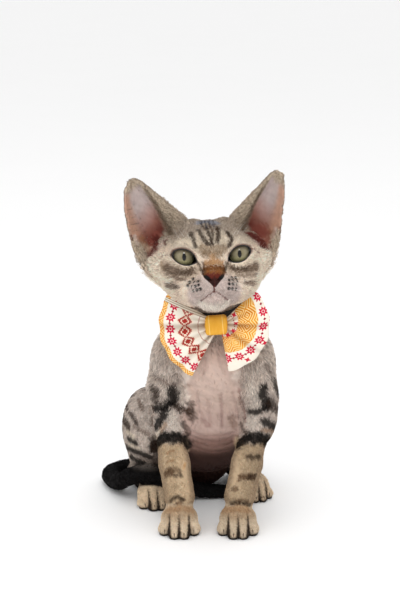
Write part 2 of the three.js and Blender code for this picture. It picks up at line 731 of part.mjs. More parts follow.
// Head and neck
const NECK_TOP = new Frame([2, 0, 166.5], [0, 20, 0]);
const NECK_FOOT = new Frame([2, 0, 134], [0, 14, 0]);
let head;
let neck;
[head, rest] = parted(rest, NECK_TOP);
[neck, rest] = parted(rest, NECK_FOOT);

// Eyes, mouth and nose
const SIDES = [
  ["right", -1],
  ["left", 1],
];
for (const [side, s] of SIDES) {
  const eye = eyeSolid(s);
  addNode(`eye_${side}`, eye, eyeball);
  head = head.subtract(lidOpening(s)).subtract(grown(eye, GAP));
}
head = head.subtract(mouthLine()).subtract(nostril(-1)).subtract(nostril(1));
const leather = new THREE.SphereGeometry(1, 16, 12).scale(7.3, 7, 5.4);
leather.translate(0, -14, -13.4);
let nose;
[nose, head] = taken(head, solidOfGeometry(leather, HEAD.matrix));
addNode("nose", nose, noseLeather);
addNode("head", head, coat);
for (const [side, s] of SIDES) addNode(`ear_${side}`, earSolid(s).subtract(grown(body, GAP)), coat);

// Small claws at the ends of the toes
function clawsOf(paw, side, frame) {
  const [x, y] = paw.centre(side);
  const claws = toesOf(paw.width, paw.long).map(([across, tip]) => {
    const joints = [[-3, 5.4, 1], [-0.6, 4.6, 0.9], [1.3, 2.6, 0.25]];
    return tube(joints.map(([on, z, r]) => [...frame.out([x + across, y - tip - on, z]), r]), 5, 3);
  });
  return claws.reduce((all, claw) => all.add(claw));
}

// Legs
const WRIST = new Frame([0, -31, 19], [0, -28, 0]);
const ELBOW = new Frame([0, 0, 60], [0, 0, 0]);
for (const [side, s] of SIDES) {
  const region = regionOf(forelegField(s), [-75, -60, -2], [75, 60, 150], 3);
  const front = regionOf(sunk(forePawField(s)), [-64, -84, -18], [64, 8, 44], 3);
  let leg;
  [leg, rest] = taken(rest, region.add(front));
  const [upper, below] = parted(leg, ELBOW);
  const [lower, paw] = parted(below, WRIST);
  addNode(`foreleg_${side}_upper`, upper, coat);
  addNode(`foreleg_${side}_lower`, lower, coat);
  addNode(`forepaw_${side}`, largest(paw).add(clawsOf(FOREPAW, s, STANDING)), coat);
}
for (const [side, s] of SIDES) {
  const thighRegion = regionOf(hindLegField(s), [-96, -36, -20], [88, 124, 112], 3);
  const pawRegion = regionOf(sunk(hindPawField(s)), [-80, -36, -20], [80, 72, 44], 3);
  let leg;
  [leg, rest] = taken(rest, thighRegion.add(pawRegion));
  const ankle = new Frame(HIPS.out([HIND_FOOT_X[s], 0, 19]), [14, 0, 0]);
  const [thigh, foot] = parted(leg, ankle);
  addNode(`hindleg_${side}_thigh`, thigh, coat);
  addNode(`hindleg_${side}_foot`, largest(foot).add(clawsOf(HIND_PAW, s, HIPS)), coat);
}
addNode("neck", neck, coat);
addNode("torso", rest, bareSkin);

// Tail, in four lengths
const floor = above(STANDING);
const tailPath = new THREE.CatmullRomCurve3(TAIL.map((p) => new THREE.Vector3(...p)));
let tail = tube(TAIL, 11, 38).intersect(floor).subtract(grown(body, GAP));
const lengths = ["base", "middle", "bend"];
TAIL_CUTS.forEach((at, i) => {
  const along = tailPath.getTangent(at);
  const frame = new Frame(tailPath.getPoint(at).toArray(), [0, 0, 0]);
  const turn = new THREE.Quaternion().setFromUnitVectors(new THREE.Vector3(0, 0, 1), along);
  frame.matrix.multiply(new THREE.Matrix4().makeRotationFromQuaternion(turn));
  const near = new THREE.SphereGeometry(16, 12, 8).translate(...tailPath.getPoint(at).toArray());
  const slab = above(frame, -GAP / 2).subtract(above(frame, GAP / 2)).intersect(solidOfGeometry(near));
  tail = tail.subtract(slab);
});
const pieces = tail.decompose().filter((piece) => piece.volume() > 200);
const startOf = (piece) => {
  const { min, max } = piece.boundingBox();
  const middle = new THREE.Vector3(...min).add(new THREE.Vector3(...max)).multiplyScalar(0.5);
  let best = [1e9, 0];
  for (let t = 0; t <= 1; t += 0.01) {
    const far = tailPath.getPoint(t).distanceTo(middle);
    if (far < best[0]) best = [far, t];
  }
  return best[1];
};
pieces.sort((a, b) => startOf(a) - startOf(b));
pieces.forEach((piece, i) => addNode(`tail_${[...lengths, "tip"][i] ?? i}`, piece, darkCoat));

// Collar and bow tie
const COLLAR = new Frame([2, -3, 156], [0, 20, 0]);
const ring = above(COLLAR, -COLLAR_WIDTH / 2).subtract(above(COLLAR, COLLAR_WIDTH / 2));
const collar = grown(neck, GAP + 1.5).intersect(ring).subtract(grown(neck, GAP));
addNode("collar", collar, strap);
const knot = knotSolid().subtract(grown(collar, GAP)).subtract(grown(body, GAP));
addNode("bow_knot", knot, knotCloth);
const wings = {
  right: { from: 147, to: 243, reach: 41.6, folds: 3.5, lift: 5 },
  left: { from: 46, to: -80, reach: 34, folds: 4.5, lift: 5 },
};
for (const [side, shape] of Object.entries(wings)) {
  const wing = bowWing(shape).subtract(grown(knot, GAP)).subtract(grown(body, GAP));
  addNode(`bow_wing_${side}`, wing.subtract(grown(collar, GAP)), bowCloth);
}

nodes.position.set(...CENTRING);
export default nodes;
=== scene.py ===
"""A sitting Devon Rex kitten with a bow tie: its looks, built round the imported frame."""

import logging
import math
from dataclasses import dataclass, field, fields
from enum import Enum
from typing import Callable, Iterable, Sequence

import bpy
import numpy as np
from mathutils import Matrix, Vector
from mathutils.bvhtree import BVHTree


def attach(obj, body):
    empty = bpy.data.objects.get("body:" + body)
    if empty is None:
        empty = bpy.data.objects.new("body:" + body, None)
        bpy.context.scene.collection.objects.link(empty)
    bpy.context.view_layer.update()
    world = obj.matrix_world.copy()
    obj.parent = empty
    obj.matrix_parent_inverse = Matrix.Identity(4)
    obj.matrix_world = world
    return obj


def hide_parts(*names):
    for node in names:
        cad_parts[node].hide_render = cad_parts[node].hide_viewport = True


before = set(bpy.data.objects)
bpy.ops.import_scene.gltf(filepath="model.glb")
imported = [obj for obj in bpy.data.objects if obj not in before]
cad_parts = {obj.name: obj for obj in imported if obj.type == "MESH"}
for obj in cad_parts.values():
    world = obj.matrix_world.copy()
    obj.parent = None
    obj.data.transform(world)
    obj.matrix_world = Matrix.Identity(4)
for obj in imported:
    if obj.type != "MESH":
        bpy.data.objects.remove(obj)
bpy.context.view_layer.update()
LOG = logging.getLogger("kitten")

Array = np.ndarray
Field = Callable[[Array], Array]

MM = 0.001
CENTRING = np.array([13.66, -15.7, 0.0])  # millimetres, from the kitten's frame to the row frame
COAT_DEPTH = 1.1  # millimetres from the outer surface of the coat to the skin
FAR = 9.0  # millimetres, past every blend between two groups of shapes
HEAD_FROM = 160  # millimetres up, under the chin: all above it is the head's
BOTH = (-1, 1)  # the kitten's right side and its left
SIDES = {"right": -1, "left": 1}
FLESH_NODES = (
    "head nose neck torso ear_left ear_right tail_base tail_middle tail_bend tail_tip "
    "foreleg_left_upper foreleg_left_lower forepaw_left foreleg_right_upper foreleg_right_lower "
    "forepaw_right hindleg_left_thigh hindleg_left_foot hindleg_right_thigh hindleg_right_foot"
).split()


def srgb(red: float, green: float, blue: float) -> Array:
    """A colour of 0 to 255 as the linear one that shaders use."""
    return (np.array([red, green, blue]) / 255.0) ** 2.2


def ease(value: Array, low: float, high: float) -> Array:
    """0 below low, 1 above high and smooth between, or the other way round if low is the larger."""
    t = np.clip((value - low) / (high - low), 0.0, 1.0)
    return t * t * (3.0 - 2.0 * t)


def dots(a: Array, b: Array) -> Array:
    """The dot product of each row of one array with the same row of the other."""
    return np.einsum("ij,ij->i", a, b)


def unit(rows: Array) -> Array:
    """Each row at a length of 1."""
    return rows / np.maximum(np.linalg.norm(rows, axis=1), 1e-12)[:, None]


def in_box(points: Array, low: Array, high: Array) -> Array:
    """Which points lie between two corners."""
    return np.flatnonzero(np.all((points > low) & (points < high), axis=1))


def lattice(size: Iterable[int]) -> Array:
    """Every place with whole numbers in a box of this size, one a row."""
    return np.stack(np.meshgrid(*[np.arange(n) for n in size], indexing="ij"), -1).reshape(-1, 3)


def shares(rows: int, columns: int) -> tuple[Array, Array]:
    """Numbers from 0 to 1 over a grid: the first grows from row to row, the second along each."""
    return np.meshgrid(np.linspace(0, 1, rows), np.linspace(0, 1, columns), indexing="ij")


def quads(rows: int, columns: int, closed: bool = False) -> Array:
    """Faces over a grid of points that is numbered row by row.

    Args:
        rows: How many rows there are.
        columns: How many points a row has.
        closed: Whether a row is a ring, whose last point is next to its first.

    Returns:
        Four point numbers for each face.
    """
    j, i = np.divmod(np.arange((rows - 1) * columns), columns)
    k = (i + 1) % columns
    faces = np.stack([j * columns + i, j * columns + k, (j + 1) * columns + k, (j + 1) * columns + i], -1)
    return faces if closed else faces[i < columns - 1]


def wobble(points: Array, wavelength: float, seed: int) -> Array:
    """Smooth irregular waves.

    Args:
        points: Places in millimetres, one a row.
        wavelength: The length of the longest wave in millimetres.
        seed: Which set of waves.

    Returns:
        A number from about -1 to 1 for each place.
    """
    rng = np.random.default_rng(seed)
    total = np.zeros(len(points))
    for octave in range(5):
        direction = rng.normal(size=3)
        direction *= 2 * math.pi * (1 + 0.41 * octave) / (wavelength * np.linalg.norm(direction))
        total += np.sin(points @ direction + rng.uniform(0, 6.28))
    return total / 2.6


class Turned:
    """A frame with its own place and turns, in which a group of shapes is described."""

    def __init__(self, origin: Sequence[float], yaw: float, pitch: float, roll: float) -> None:
        """Places the frame: turns are in degrees, about Z, then X, then Y."""
        z, x, y = (math.radians(a) for a in (yaw, pitch, roll))
        about_z = np.array([[math.cos(z), -math.sin(z), 0], [math.sin(z), math.cos(z), 0], [0, 0, 1]])
        about_x = np.array([[1, 0, 0], [0, math.cos(x), -math.sin(x)], [0, math.sin(x), math.cos(x)]])
        about_y = np.array([[math.cos(y), 0, math.sin(y)], [0, 1, 0], [-math.sin(y), 0, math.cos(y)]])
        self.turn = about_z @ about_x @ about_y
        self.origin = np.array(origin, float)

    def out(self, points: Array) -> Array:
        """Points of this frame in the kitten's frame."""
        return np.asarray(points, float) @ self.turn.T + self.origin

    def into(self, points: Array) -> Array:
        """Points of the kitten's frame in this one."""
        return (points - self.origin) @ self.turn

    def field(self, local: Field) -> Field:
        """A field of this frame, read in the kitten's frame."""
        return lambda points: local(self.into(points))


HEAD = Turned((1.9, -47.5, 196.3), 4, -5, -2.6)
HIPS = Turned((-9, 45, 0), 14, 0, 0)


def ellipsoid(centre: Sequence[float], radii: Sequence[float]) -> Field:
    """The distance to an ellipsoid, negative inside."""
    c, r = np.array(centre, np.float32), np.array(radii, np.float32)

    def read(points: Array) -> Array:
        """Reads the field at each point."""
        a = (points - c) / r
        k0 = np.sqrt(dots(a, a))
        a /= r
        k1 = np.sqrt(dots(a, a)) + 1e-9
        return k0 * (k0 - 1) / k1

    return read


def limb(a: Sequence[float], b: Sequence[float], ra: float, rb: float) -> Field:
    """The distance to a tapered limb from a to b with rounded ends."""
    start = np.array(a, np.float32)
    along = np.array(b, np.float32) - start
    length = float(along @ along)

    def read(points: Array) -> Array:
        """Reads the field at each point."""
        p = points - start
        t = np.clip(p @ along / length, 0, 1)
        p = p - t[:, None] * along
        return np.sqrt(dots(p, p)) - ra - (rb - ra) * t

    return read


def blended(items: Iterable[tuple[Field, float]]) -> Field:
    """Joins fields, each given with how softly it melts into the ones before it."""
    items = list(items)

    def read(points: Array) -> Array:
        """Reads the field at each point."""
        near = items[0][0](points)
        for shape, soft in items[1:]:
            new = shape(points)
            overlap = np.maximum(soft - np.abs(near - new), 0) / soft
            near = np.minimum(near, new) - overlap * overlap * (soft * 0.25)
        return near

    return read


def bounded(shape: Field, low: Sequence[float], high: Sequence[float]) -> Field:
    """The same field, read only in its box; outside it, a distance that is past every blend."""
    lowest, highest = np.array(low, float), np.array(high, float)

    def read(points: Array) -> Array:
        """Reads the field at each point."""
        past = np.maximum(np.maximum(lowest - points, points - highest), 0)
        result = np.sqrt(dots(past, past)) + FAR
        near = np.flatnonzero(result <= FAR)
        if len(near):
            result[near] = shape(points[near])
        return result

    return read


def limb_through(joints: Sequence[Sequence[float]], soft: float = 3) -> Field:
    """A limb through several joints, each x, y, z and radius."""
    pairs = zip(joints, joints[1:])
    return blended((limb(a[:3], b[:3], a[3], b[3]), soft) for a, b in pairs)


def cut_from(body: Array, hole: Array, soft: float) -> Array:
    """Field values of a body with a hole cut from it with a soft edge."""
    overlap = np.maximum(soft - np.abs(body + hole), 0) / soft
    return np.maximum(body, -hole) + overlap * overlap * (soft * 0.25)


@dataclass(frozen=True)
class EarSheet:
    """The middle of one ear's wall: a cup from the top of the skull round to the cheek.

    Each station gives how far up the ear it is, a point of the inner rim, a point of the outer rim
    and the depth of the cup, in the head's frame for the left ear.
    """

    side: int
    narrowing: float
    half_thickness: float = 1.0
    across: int = 34
    up: int = 40
    stations: tuple[tuple[float, ...], ...] = (
        (0, 13, 12, 12, 30, 23, -24, 17),
        (0.14, 15.4, 12, 24, 44, 22.5, -12, 19),
        (0.35, 24.4, 12.6, 32.2, 52.4, 23.5, 4, 17.5),
        (0.55, 33, 15, 40.4, 55.4, 24.5, 20, 14),
        (0.75, 40.4, 18.5, 47, 56.8, 25.5, 33, 9),
        (0.9, 44.4, 22, 50.4, 56, 25.8, 43, 4.6),
        (1, 47.2, 24.5, 51.6, 53.2, 25.4, 49, 1.6),
    )

    def middle(self, u: Array, v: Array) -> Array:
        """Points of the sheet.

        Args:
            u: Across the cup, 0 at the inner rim and 1 at the outer.
            v: Up the ear, 0 at the base and 1 at the tip.

        Returns:
            The points in the kitten's frame.
        """
        table = np.array(self.stations)
        at = [np.interp(v, table[:, 0], table[:, n]) for n in range(1, 8)]
        sine = np.sin(math.pi * u)
        bowl = at[6] * np.maximum(sine, 0) ** 0.8
        outer = at[3] - self.narrowing * np.sqrt(np.maximum(np.sin(math.pi * v), 0))
        x = at[0] + u * (outer - at[0]) - 0.22 * bowl
        y = at[1] + u * (at[4] - at[1]) + 0.95 * bowl
        z = at[2] + u * (at[5] - at[2]) - 0.12 * bowl + 1.5 * sine * np.clip((v - 0.8) / 0.2, 0, 1)
        return HEAD.out(np.stack([self.side * x, y, z], -1))

    def tree(self) -> BVHTree:
        """The sheet as a tree that finds the nearest place on it."""
        v, u = shares(self.up + 1, self.across + 1)
        points = self.middle(u.ravel(), v.ravel())
        faces = quads(self.up + 1, self.across + 1)
        return BVHTree.FromPolygons([Vector(p) for p in points], faces.tolist())


class Ear:
    """One ear, read from a grid that says how far each place is from the ear's wall and where on it."""

    step = 0.8  # millimetres between the grid's places
    margin = 6  # millimetres round the ear

    def __init__(self, sheet: EarSheet) -> None:
        """Fills the grid once: distance, across, up, and 1 in the cup or -1 behind."""
        self.sheet = sheet
        find = sheet.tree().find_nearest
        v, u = shares(12, 12)
        points = sheet.middle(u.ravel(), v.ravel())
        self.low, self.high = points.min(0) - self.margin, points.max(0) + self.margin
        self.size = np.ceil((self.high - self.low) / self.step).astype(int) + 1
        places = self.low + lattice(self.size) * self.step
        table = np.zeros((len(places), 4), np.float32)
        table[:, 0] = FAR
        for i, place in enumerate(places.tolist()):
            location, normal, quad, gap = find(place, FAR)
            if location is not None:
                up, across = divmod(quad, sheet.across)
                cup = (Vector(place) - location).dot(normal) * sheet.side > 0
                table[i] = gap, (across + 0.5) / sheet.across, (up + 0.5) / sheet.up, 1.0 if cup else -1.0
        self.table = table.reshape(*self.size, 4)

    def near(self, points: Array) -> Array:
        """Which points lie in the ear's box."""
        return in_box(points, self.low, self.high)

    def read(self, points: Array) -> Array:
        """The grid's four numbers between its places, for points in the box."""
        at = np.clip((points - self.low) / self.step, 0, self.size - 1.001)
        cell = at.astype(int)
        part = (at - cell).astype(np.float32)
        total = np.zeros((len(points), 4), np.float32)
        for corner in range(8):
            bits = np.array([corner & 1, corner >> 1 & 1, corner >> 2])
            weight = np.prod(np.where(bits, part, 1 - part), axis=1)
            total += weight[:, None] * self.table[tuple((cell + bits).T)]
        return total

    def field(self, points: Array) -> Array:
        """The distance to the ear's wall, and the distance to its box further off."""
        far = np.maximum(np.maximum(self.low - points, points - self.high), 0)
        result = np.linalg.norm(far, axis=1) + 5
        inside = self.near(points)
        result[inside] = self.read(points[inside])[:, 0] - self.sheet.half_thickness
        return result

    def places(self, points: Array) -> tuple[Array, Array, Array, Array]:
        """Where points are on the ear.

        Args:
            points: Points of the kitten's frame.

        Returns:
            Distance to the wall's middle (99 far from it), across, up, and 1 in the cup or -1 behind.
        """
        result = np.zeros((len(points), 4))
        result[:, 0] = 99
        inside = self.near(points)
        result[inside] = self.read(points[inside])
        return tuple(result.T)


@dataclass(frozen=True)
class Paw:
    """One paw that points along -Y: width is from toe to toe, long from its middle to the longest toe."""

    centre: tuple[float, float]
    width: float
    long: float
    place: Turned | None = None

    def toes(self) -> list[tuple[float, float]]:
        """How far across each toe is and how far forward its tip."""
        return [(n * self.width, self.long * (1 if abs(n) < 1 else 0.64)) for n in (-1.5, -0.5, 0.5, 1.5)]

    def at(self, across: float, forward: float, z: float) -> tuple[float, float, float]:
        """A point of the paw's own frame."""
        return (self.centre[0] + across, self.centre[1] - forward, z - 0.9)

    def field(self) -> Field:
        """The paw as a field in the kitten's frame."""
        items: list[tuple[Field, float]] = [
            (limb(self.at(0, -6, 8), self.at(0, 2, 8.4), 10.4, 9), 4),
            (ellipsoid(self.at(0, 4, 5.4), (self.width * 1.75, self.width * 1.75, 6)), 4),
            (ellipsoid(self.at(0, -1, 10), (self.width * 1.9, 12.5, 9)), 4),
        ]
        for across, tip in self.toes():
            items += [
                (limb(self.at(across * 0.8, tip - 11, 8.6), self.at(across, tip - 5.4, 5), 4.4, 4.6), 1.1),
                (limb(self.at(across, tip - 6.6, 4.6), self.at(across, tip - 4, 3), 4.5, 3.9), 0.9),
            ]
        x, y = self.centre
        shape = bounded(blended(items), (x - 26, y - self.long - 12, -12), (x + 26, y + 26, 32))
        return self.place.field(shape) if self.place else shape

    def own(self, points: Array) -> tuple[Array, Array]:
        """How far across the paw and how far forward each point is."""
        p = self.place.into(points) if self.place else points
        return p[:, 0] - self.centre[0], self.centre[1] - p[:, 1]


FOREPAWS = {s: Paw((s * 20.3, -40), 6.7, 20.5) for s in BOTH}
HIND_PAWS = {s: Paw(({-1: -36.8, 1: 38.8}[s], -22), 5.8, 16, HIPS) for s in BOTH}
TAIL = (
    (-2, 64, 19, 11.5), (-13, 79, 11, 9.4), (-30, 87, 8, 8), (-50, 85, 7, 7.5), (-65, 79, 6.6, 7.1),
    (-73.2, 68, 6.4, 6.9), (-70.5, 53, 6.8, 6.8), (-65, 37, 10.5, 6.8), (-57.5, 23.5, 18.4, 6.7),
    (-45, 14, 24, 6.7), (-31, 15.5, 20, 6.4), (-16, 22, 11.5, 6.1), (0, 28, 6.2, 5.8),
    (13, 30.5, 5, 5.4), (21, 31, 4.6, 4.8), (26, 30.6, 4, 3),
)
NECK = ((2, -6, 174, 21), (2, -3, 150, 22), (2, 5, 128, 27))


def curve_through(joints: Sequence[Sequence[float]], steps: int) -> Array:
    """A smooth line through joints, with steps points between each two."""
    table = np.array(joints, float)
    padded = np.vstack([2 * table[0] - table[1], table, 2 * table[-1] - table[-2]])
    t = np.linspace(0, 1, steps, endpoint=False)[:, None]
    rows = [
        0.5 * (2 * b + (c - a) * t + (2 * a - 5 * b + 4 * c - d) * t**2 + (3 * b - a - 3 * c + d) * t**3)
        for a, b, c, d in zip(padded, padded[1:], padded[2:], padded[3:])
    ]
    return np.vstack(rows + [table[-1:]])


@dataclass
class Flesh:
    """The kitten's body as one smooth field: the forms of the frame's solids, with finer lids and mouth."""

    eye_apart: float = 18.6
    eye_depth: float = 9.4
    eye_radius: float = 9.6
    lid_opening: tuple[float, float, float] = (8.9, 5.7, 4.5)  # half the width, above and below the corners
    lid_drop: float = 0.6  # of the corners under the eyeball's middle
    lid_slant: float = math.radians(19)
    ears: dict[int, Ear] = field(default_factory=dict)

    def __post_init__(self) -> None:
        """Builds the fields of each part."""
        self.ears = {s: Ear(EarSheet(s, {-1: 1.6, 1: 5.0}[s])) for s in BOTH}
        self.forelegs = {s: self.foreleg(s) for s in BOTH}
        self.hindlegs = {s: self.hindleg(s) for s in BOTH}
        self.paws = {s: FOREPAWS[s].field() for s in BOTH}
        self.feet = {s: HIND_PAWS[s].field() for s in BOTH}
        self.tail = bounded(limb_through(curve_through(TAIL, 3), 1.5), (-90, -4, -12), (38, 106, 44))
        self.head = self.head_field()
        self.trunk = self.trunk_field()
        items: list[tuple[Field, float]] = [(self.trunk, 1), (self.head, 7)]
        for s in BOTH:
            items += [(self.forelegs[s], 7), (self.hindlegs[s], 6), (self.paws[s], 4), (self.feet[s], 4)]
        self.body = blended(items + [(self.tail, 1.5)])
        self.mouth = self.mouth_lines()

    def head_field(self) -> Field:
        """The head without its openings, described from the point between the eyes."""
        items: list[tuple[Field, float]] = [
            (ellipsoid((0, 27, -3), (29.5, 33, 24.5)), 8),
            (ellipsoid((0, 10, 7), (22, 15, 13.5)), 9),
        ]
        for s in BOTH:
            items += [
                (ellipsoid((s * 20, 13, -11), (13.5, 17, 13)), 7),
                (ellipsoid((s * 17, 17, -21), (14, 18, 12)), 8),
                (ellipsoid((s * 14, 6, 10), (10, 7, 5.5)), 5),
                (ellipsoid((s * 11, 20, 15), (7.5, 10, 8.2)), 5),
                (ellipsoid((s * self.eye_apart, 9.4, 0), (11.8, 10.9, 10.6)), 3),
                (ellipsoid((s * 29, 25, -3), (13, 13, 16)), 7),
                (ellipsoid((s * 11, 6, -26.8), (13, 13, 8.2)), 6),
            ]
        items += [(limb((0, 3, 2), (0, -8, -9), 7.4, 5.6), 5), (ellipsoid((0, -1, -18), (13, 12, 10.5)), 6)]
        items += [(ellipsoid((s * 7.2, -5.6, -21.2), (9, 8.6, 7.2)), 3) for s in BOTH]
        items += [
            (ellipsoid((0, -10.2, -13), (6, 5.2, 5.6)), 3),
            (ellipsoid((0, -1, -30.6), (10.5, 9, 7)), 2.5),
            (limb((0, 2, -28), (0, 28, -22), 9, 17), 6),
        ]
        skull = blended(items)
        hollows = [ellipsoid((s * 37, 10, 9), (9, 16, 10)) for s in BOTH]

        def read(points: Array) -> Array:
            """Reads the skull with the hollow at the foot of each ear's cup."""
            value = skull(points)
            for hollow in hollows:
                value = cut_from(value, hollow(points), 4)
            return value

        return HEAD.field(bounded(read, (-54, -32, -56), (54, 74, 44)))

    def trunk_field(self) -> Field:
        """The chest, ribs, round belly and the curve of the back."""
        trunk = blended(
            [
                (limb_through(NECK), 8),
                (ellipsoid((1, 16, 98), (36, 32, 34)), 10),
                (ellipsoid((3, -4, 112), (25, 20, 24)), 12),
                (ellipsoid((-2, 24, 60), (37, 35, 36)), 12),
                (limb((1, 22, 126), (-5, 44, 80), 26, 33), 14),
                (HIPS.field(ellipsoid((0, 14, 38), (37, 33, 39.5))), 14),
                (HIPS.field(ellipsoid((0, 28, 20), (25, 23, 22))), 10),
            ]
        )
        return bounded(trunk, (-66, -46, -16), (56, 108, 208))

    def foreleg(self, side: int) -> Field:
        """One foreleg from shoulder to wrist."""
        lean = 3 if side > 0 else 0

        def x(at: float, share: float = 0) -> float:
            """How far to the side a joint is."""
            return side * at + share * lean

        lower = ((x(27.5, 1.4), -3, 60, 9.8), (x(24, 1), -19, 42, 10.5), (x(20.3, 0.4), -32, 22, 10.6))
        shapes = [
            (ellipsoid((x(27, 2), 3, 106), (14, 19, 27)), 8),
            (limb((x(28.5, 1), -4, 92), (x(28.5, 1), 1, 66), 14.6, 11), 8),
            (limb_through(lower), 5),
        ]
        if side > 0:
            shapes.append((ellipsoid((37, 4, 75), (13, 15, 25)), 7))
        leg = blended(shapes)
        near, far = sorted((side * 0.5, side * 60.0))
        return bounded(leg, (near, -54, 1), (far, 34, 144))

    def hindleg(self, side: int) -> Field:
        """One folded hind leg: thigh, shank and the foot flat on the floor."""
        foot_x = HIND_PAWS[side].centre[0] - side * 0.5
        leg = blended(
            [
                (ellipsoid((side * 34, 4, 50), (20, 31, 31)), 8),
                (limb((side * 36, -14, 45), (side * 38, 6, 18), 14, 10), 8),
                (limb((side * 36.5, 30, 10), (foot_x, -12, 8), 9.4, 8.2), 5),
            ]
        )
        near, far = sorted((side * 4.0, side * 64.0))
        return HIPS.field(bounded(leg, (near, -42, -10), (far, 52, 92)))

    def on_face(self, x: Array, z: Array) -> Array:
        """Points of the face that are seen straight ahead at x and z of the head's frame."""
        before, behind, step = -30.0, 40, 0.2  # millimetres, before the nose and behind the face
        y = np.full(len(x), before)
        for _ in range(260):
            outside = self.head(HEAD.out(np.stack([x, y, z], -1))) > 0
            y = np.where(outside & (y < behind), y + step, y)
        return HEAD.out(np.stack([x, y, z], -1))

    def mouth_lines(self) -> list[Array]:
        """The line of the mouth: down from the nose, then along under both whisker pads."""
        paths = [[(0, -17.6), (0, -19.6), (0, -22.4)]]
        for s in BOTH:
            paths.append([(0, -21.8), (s * 3.2, -24), (s * 6.2, -26.8), (s * 8.8, -28.7), (s * 10.6, -29)])
        lines = []
        for path in paths:
            dense = curve_through([(x, z, 0) for x, z in path], 4)
            lines.append(self.on_face(dense[:, 0], dense[:, 1]))
        return lines

    def eye_centre(self, side: int) -> Array:
        """The middle of an eyeball."""
        return HEAD.out(np.array([side * self.eye_apart, self.eye_depth, 0]))

    def almond(self, points: Array, side: int) -> Array:
        """The distance across the face to the edge of an eye's opening, negative in the opening."""
        q = HEAD.into(points)
        x, z = q[:, 0] - side * self.eye_apart, q[:, 2]
        c, s = math.cos(self.lid_slant), side * math.sin(self.lid_slant)
        a, b = x * c + z * s, z * c - x * s + self.lid_drop
        wide, above, below = self.lid_opening
        edges = [np.hypot(side * a + 0.9, b) - 8.8]
        for high, way in ((above, 1), (below, -1)):
            radius = (wide**2 + high**2) / (2 * high)
            edges.append(np.hypot(a, b + way * (radius - high)) - radius)
        return np.max(edges, axis=0)

    def skin(self, points: Array) -> Array:
        """The skin with its openings: the flesh's field, in by the depth of the coat.

        Args:
            points: Points of the kitten's frame.

        Returns:
            The distance to the skin, negative inside.
        """
        legs = ease(points[:, 2], 62, 50) * ease(points[:, 1], 24, 12)
        value = self.body(points) + COAT_DEPTH * (1 - 0.72 * legs)
        high = points[:, 2] > HEAD_FROM
        if high.any():
            p = points[high]
            q = HEAD.into(p)
            v = value[high] - COAT_DEPTH * 0.5 * ease(q[:, 1], 12, 2)
            for s in BOTH:
                ear = self.ears[s].field(p)
                overlap = np.maximum(3.5 - np.abs(v - ear), 0) / 3.5
                v = np.minimum(v, ear) - overlap**2 * 0.875
            front = np.flatnonzero(q[:, 1] < 14)
            w, pf, qf = v[front], p[front], q[front]
            for s in BOTH:
                w = cut_from(w, np.maximum(self.almond(pf, s), qf[:, 1] - self.eye_depth), 1.0)
                hole = qf - np.array([s * 3.4, -14.6, -14.9])
                hole = np.stack([hole[:, 0] + s * 0.5 * hole[:, 2], hole[:, 1], hole[:, 2]], -1)
                w = cut_from(w, ellipsoid((0, 0, 0), (1.7, 2.3, 0.95))(hole), 0.8)
            near = np.flatnonzero((np.abs(qf[:, 0]) < 16) & (qf[:, 2] < -14) & (qf[:, 2] > -32))
            groove = line_distance(pf[near], self.mouth) - 0.55
            w[near] = cut_from(w[near], groove, 0.9)
            v[front] = w
            value[high] = v
        return value


def line_distance(points: Array, lines: Sequence[Array]) -> Array:
    """The distance from each point to the nearest of some lines, each an array of corners."""
    best = np.full(len(points), 1e9)
    for line in lines:
        for a, b in zip(line, line[1:]):
            d = b - a
            t = np.clip((points - a) @ d / max(float(d @ d), 1e-9), 0, 1)
            gap = points - a - t[:, None] * d
            best = np.minimum(best, dots(gap, gap))
    return np.sqrt(best)


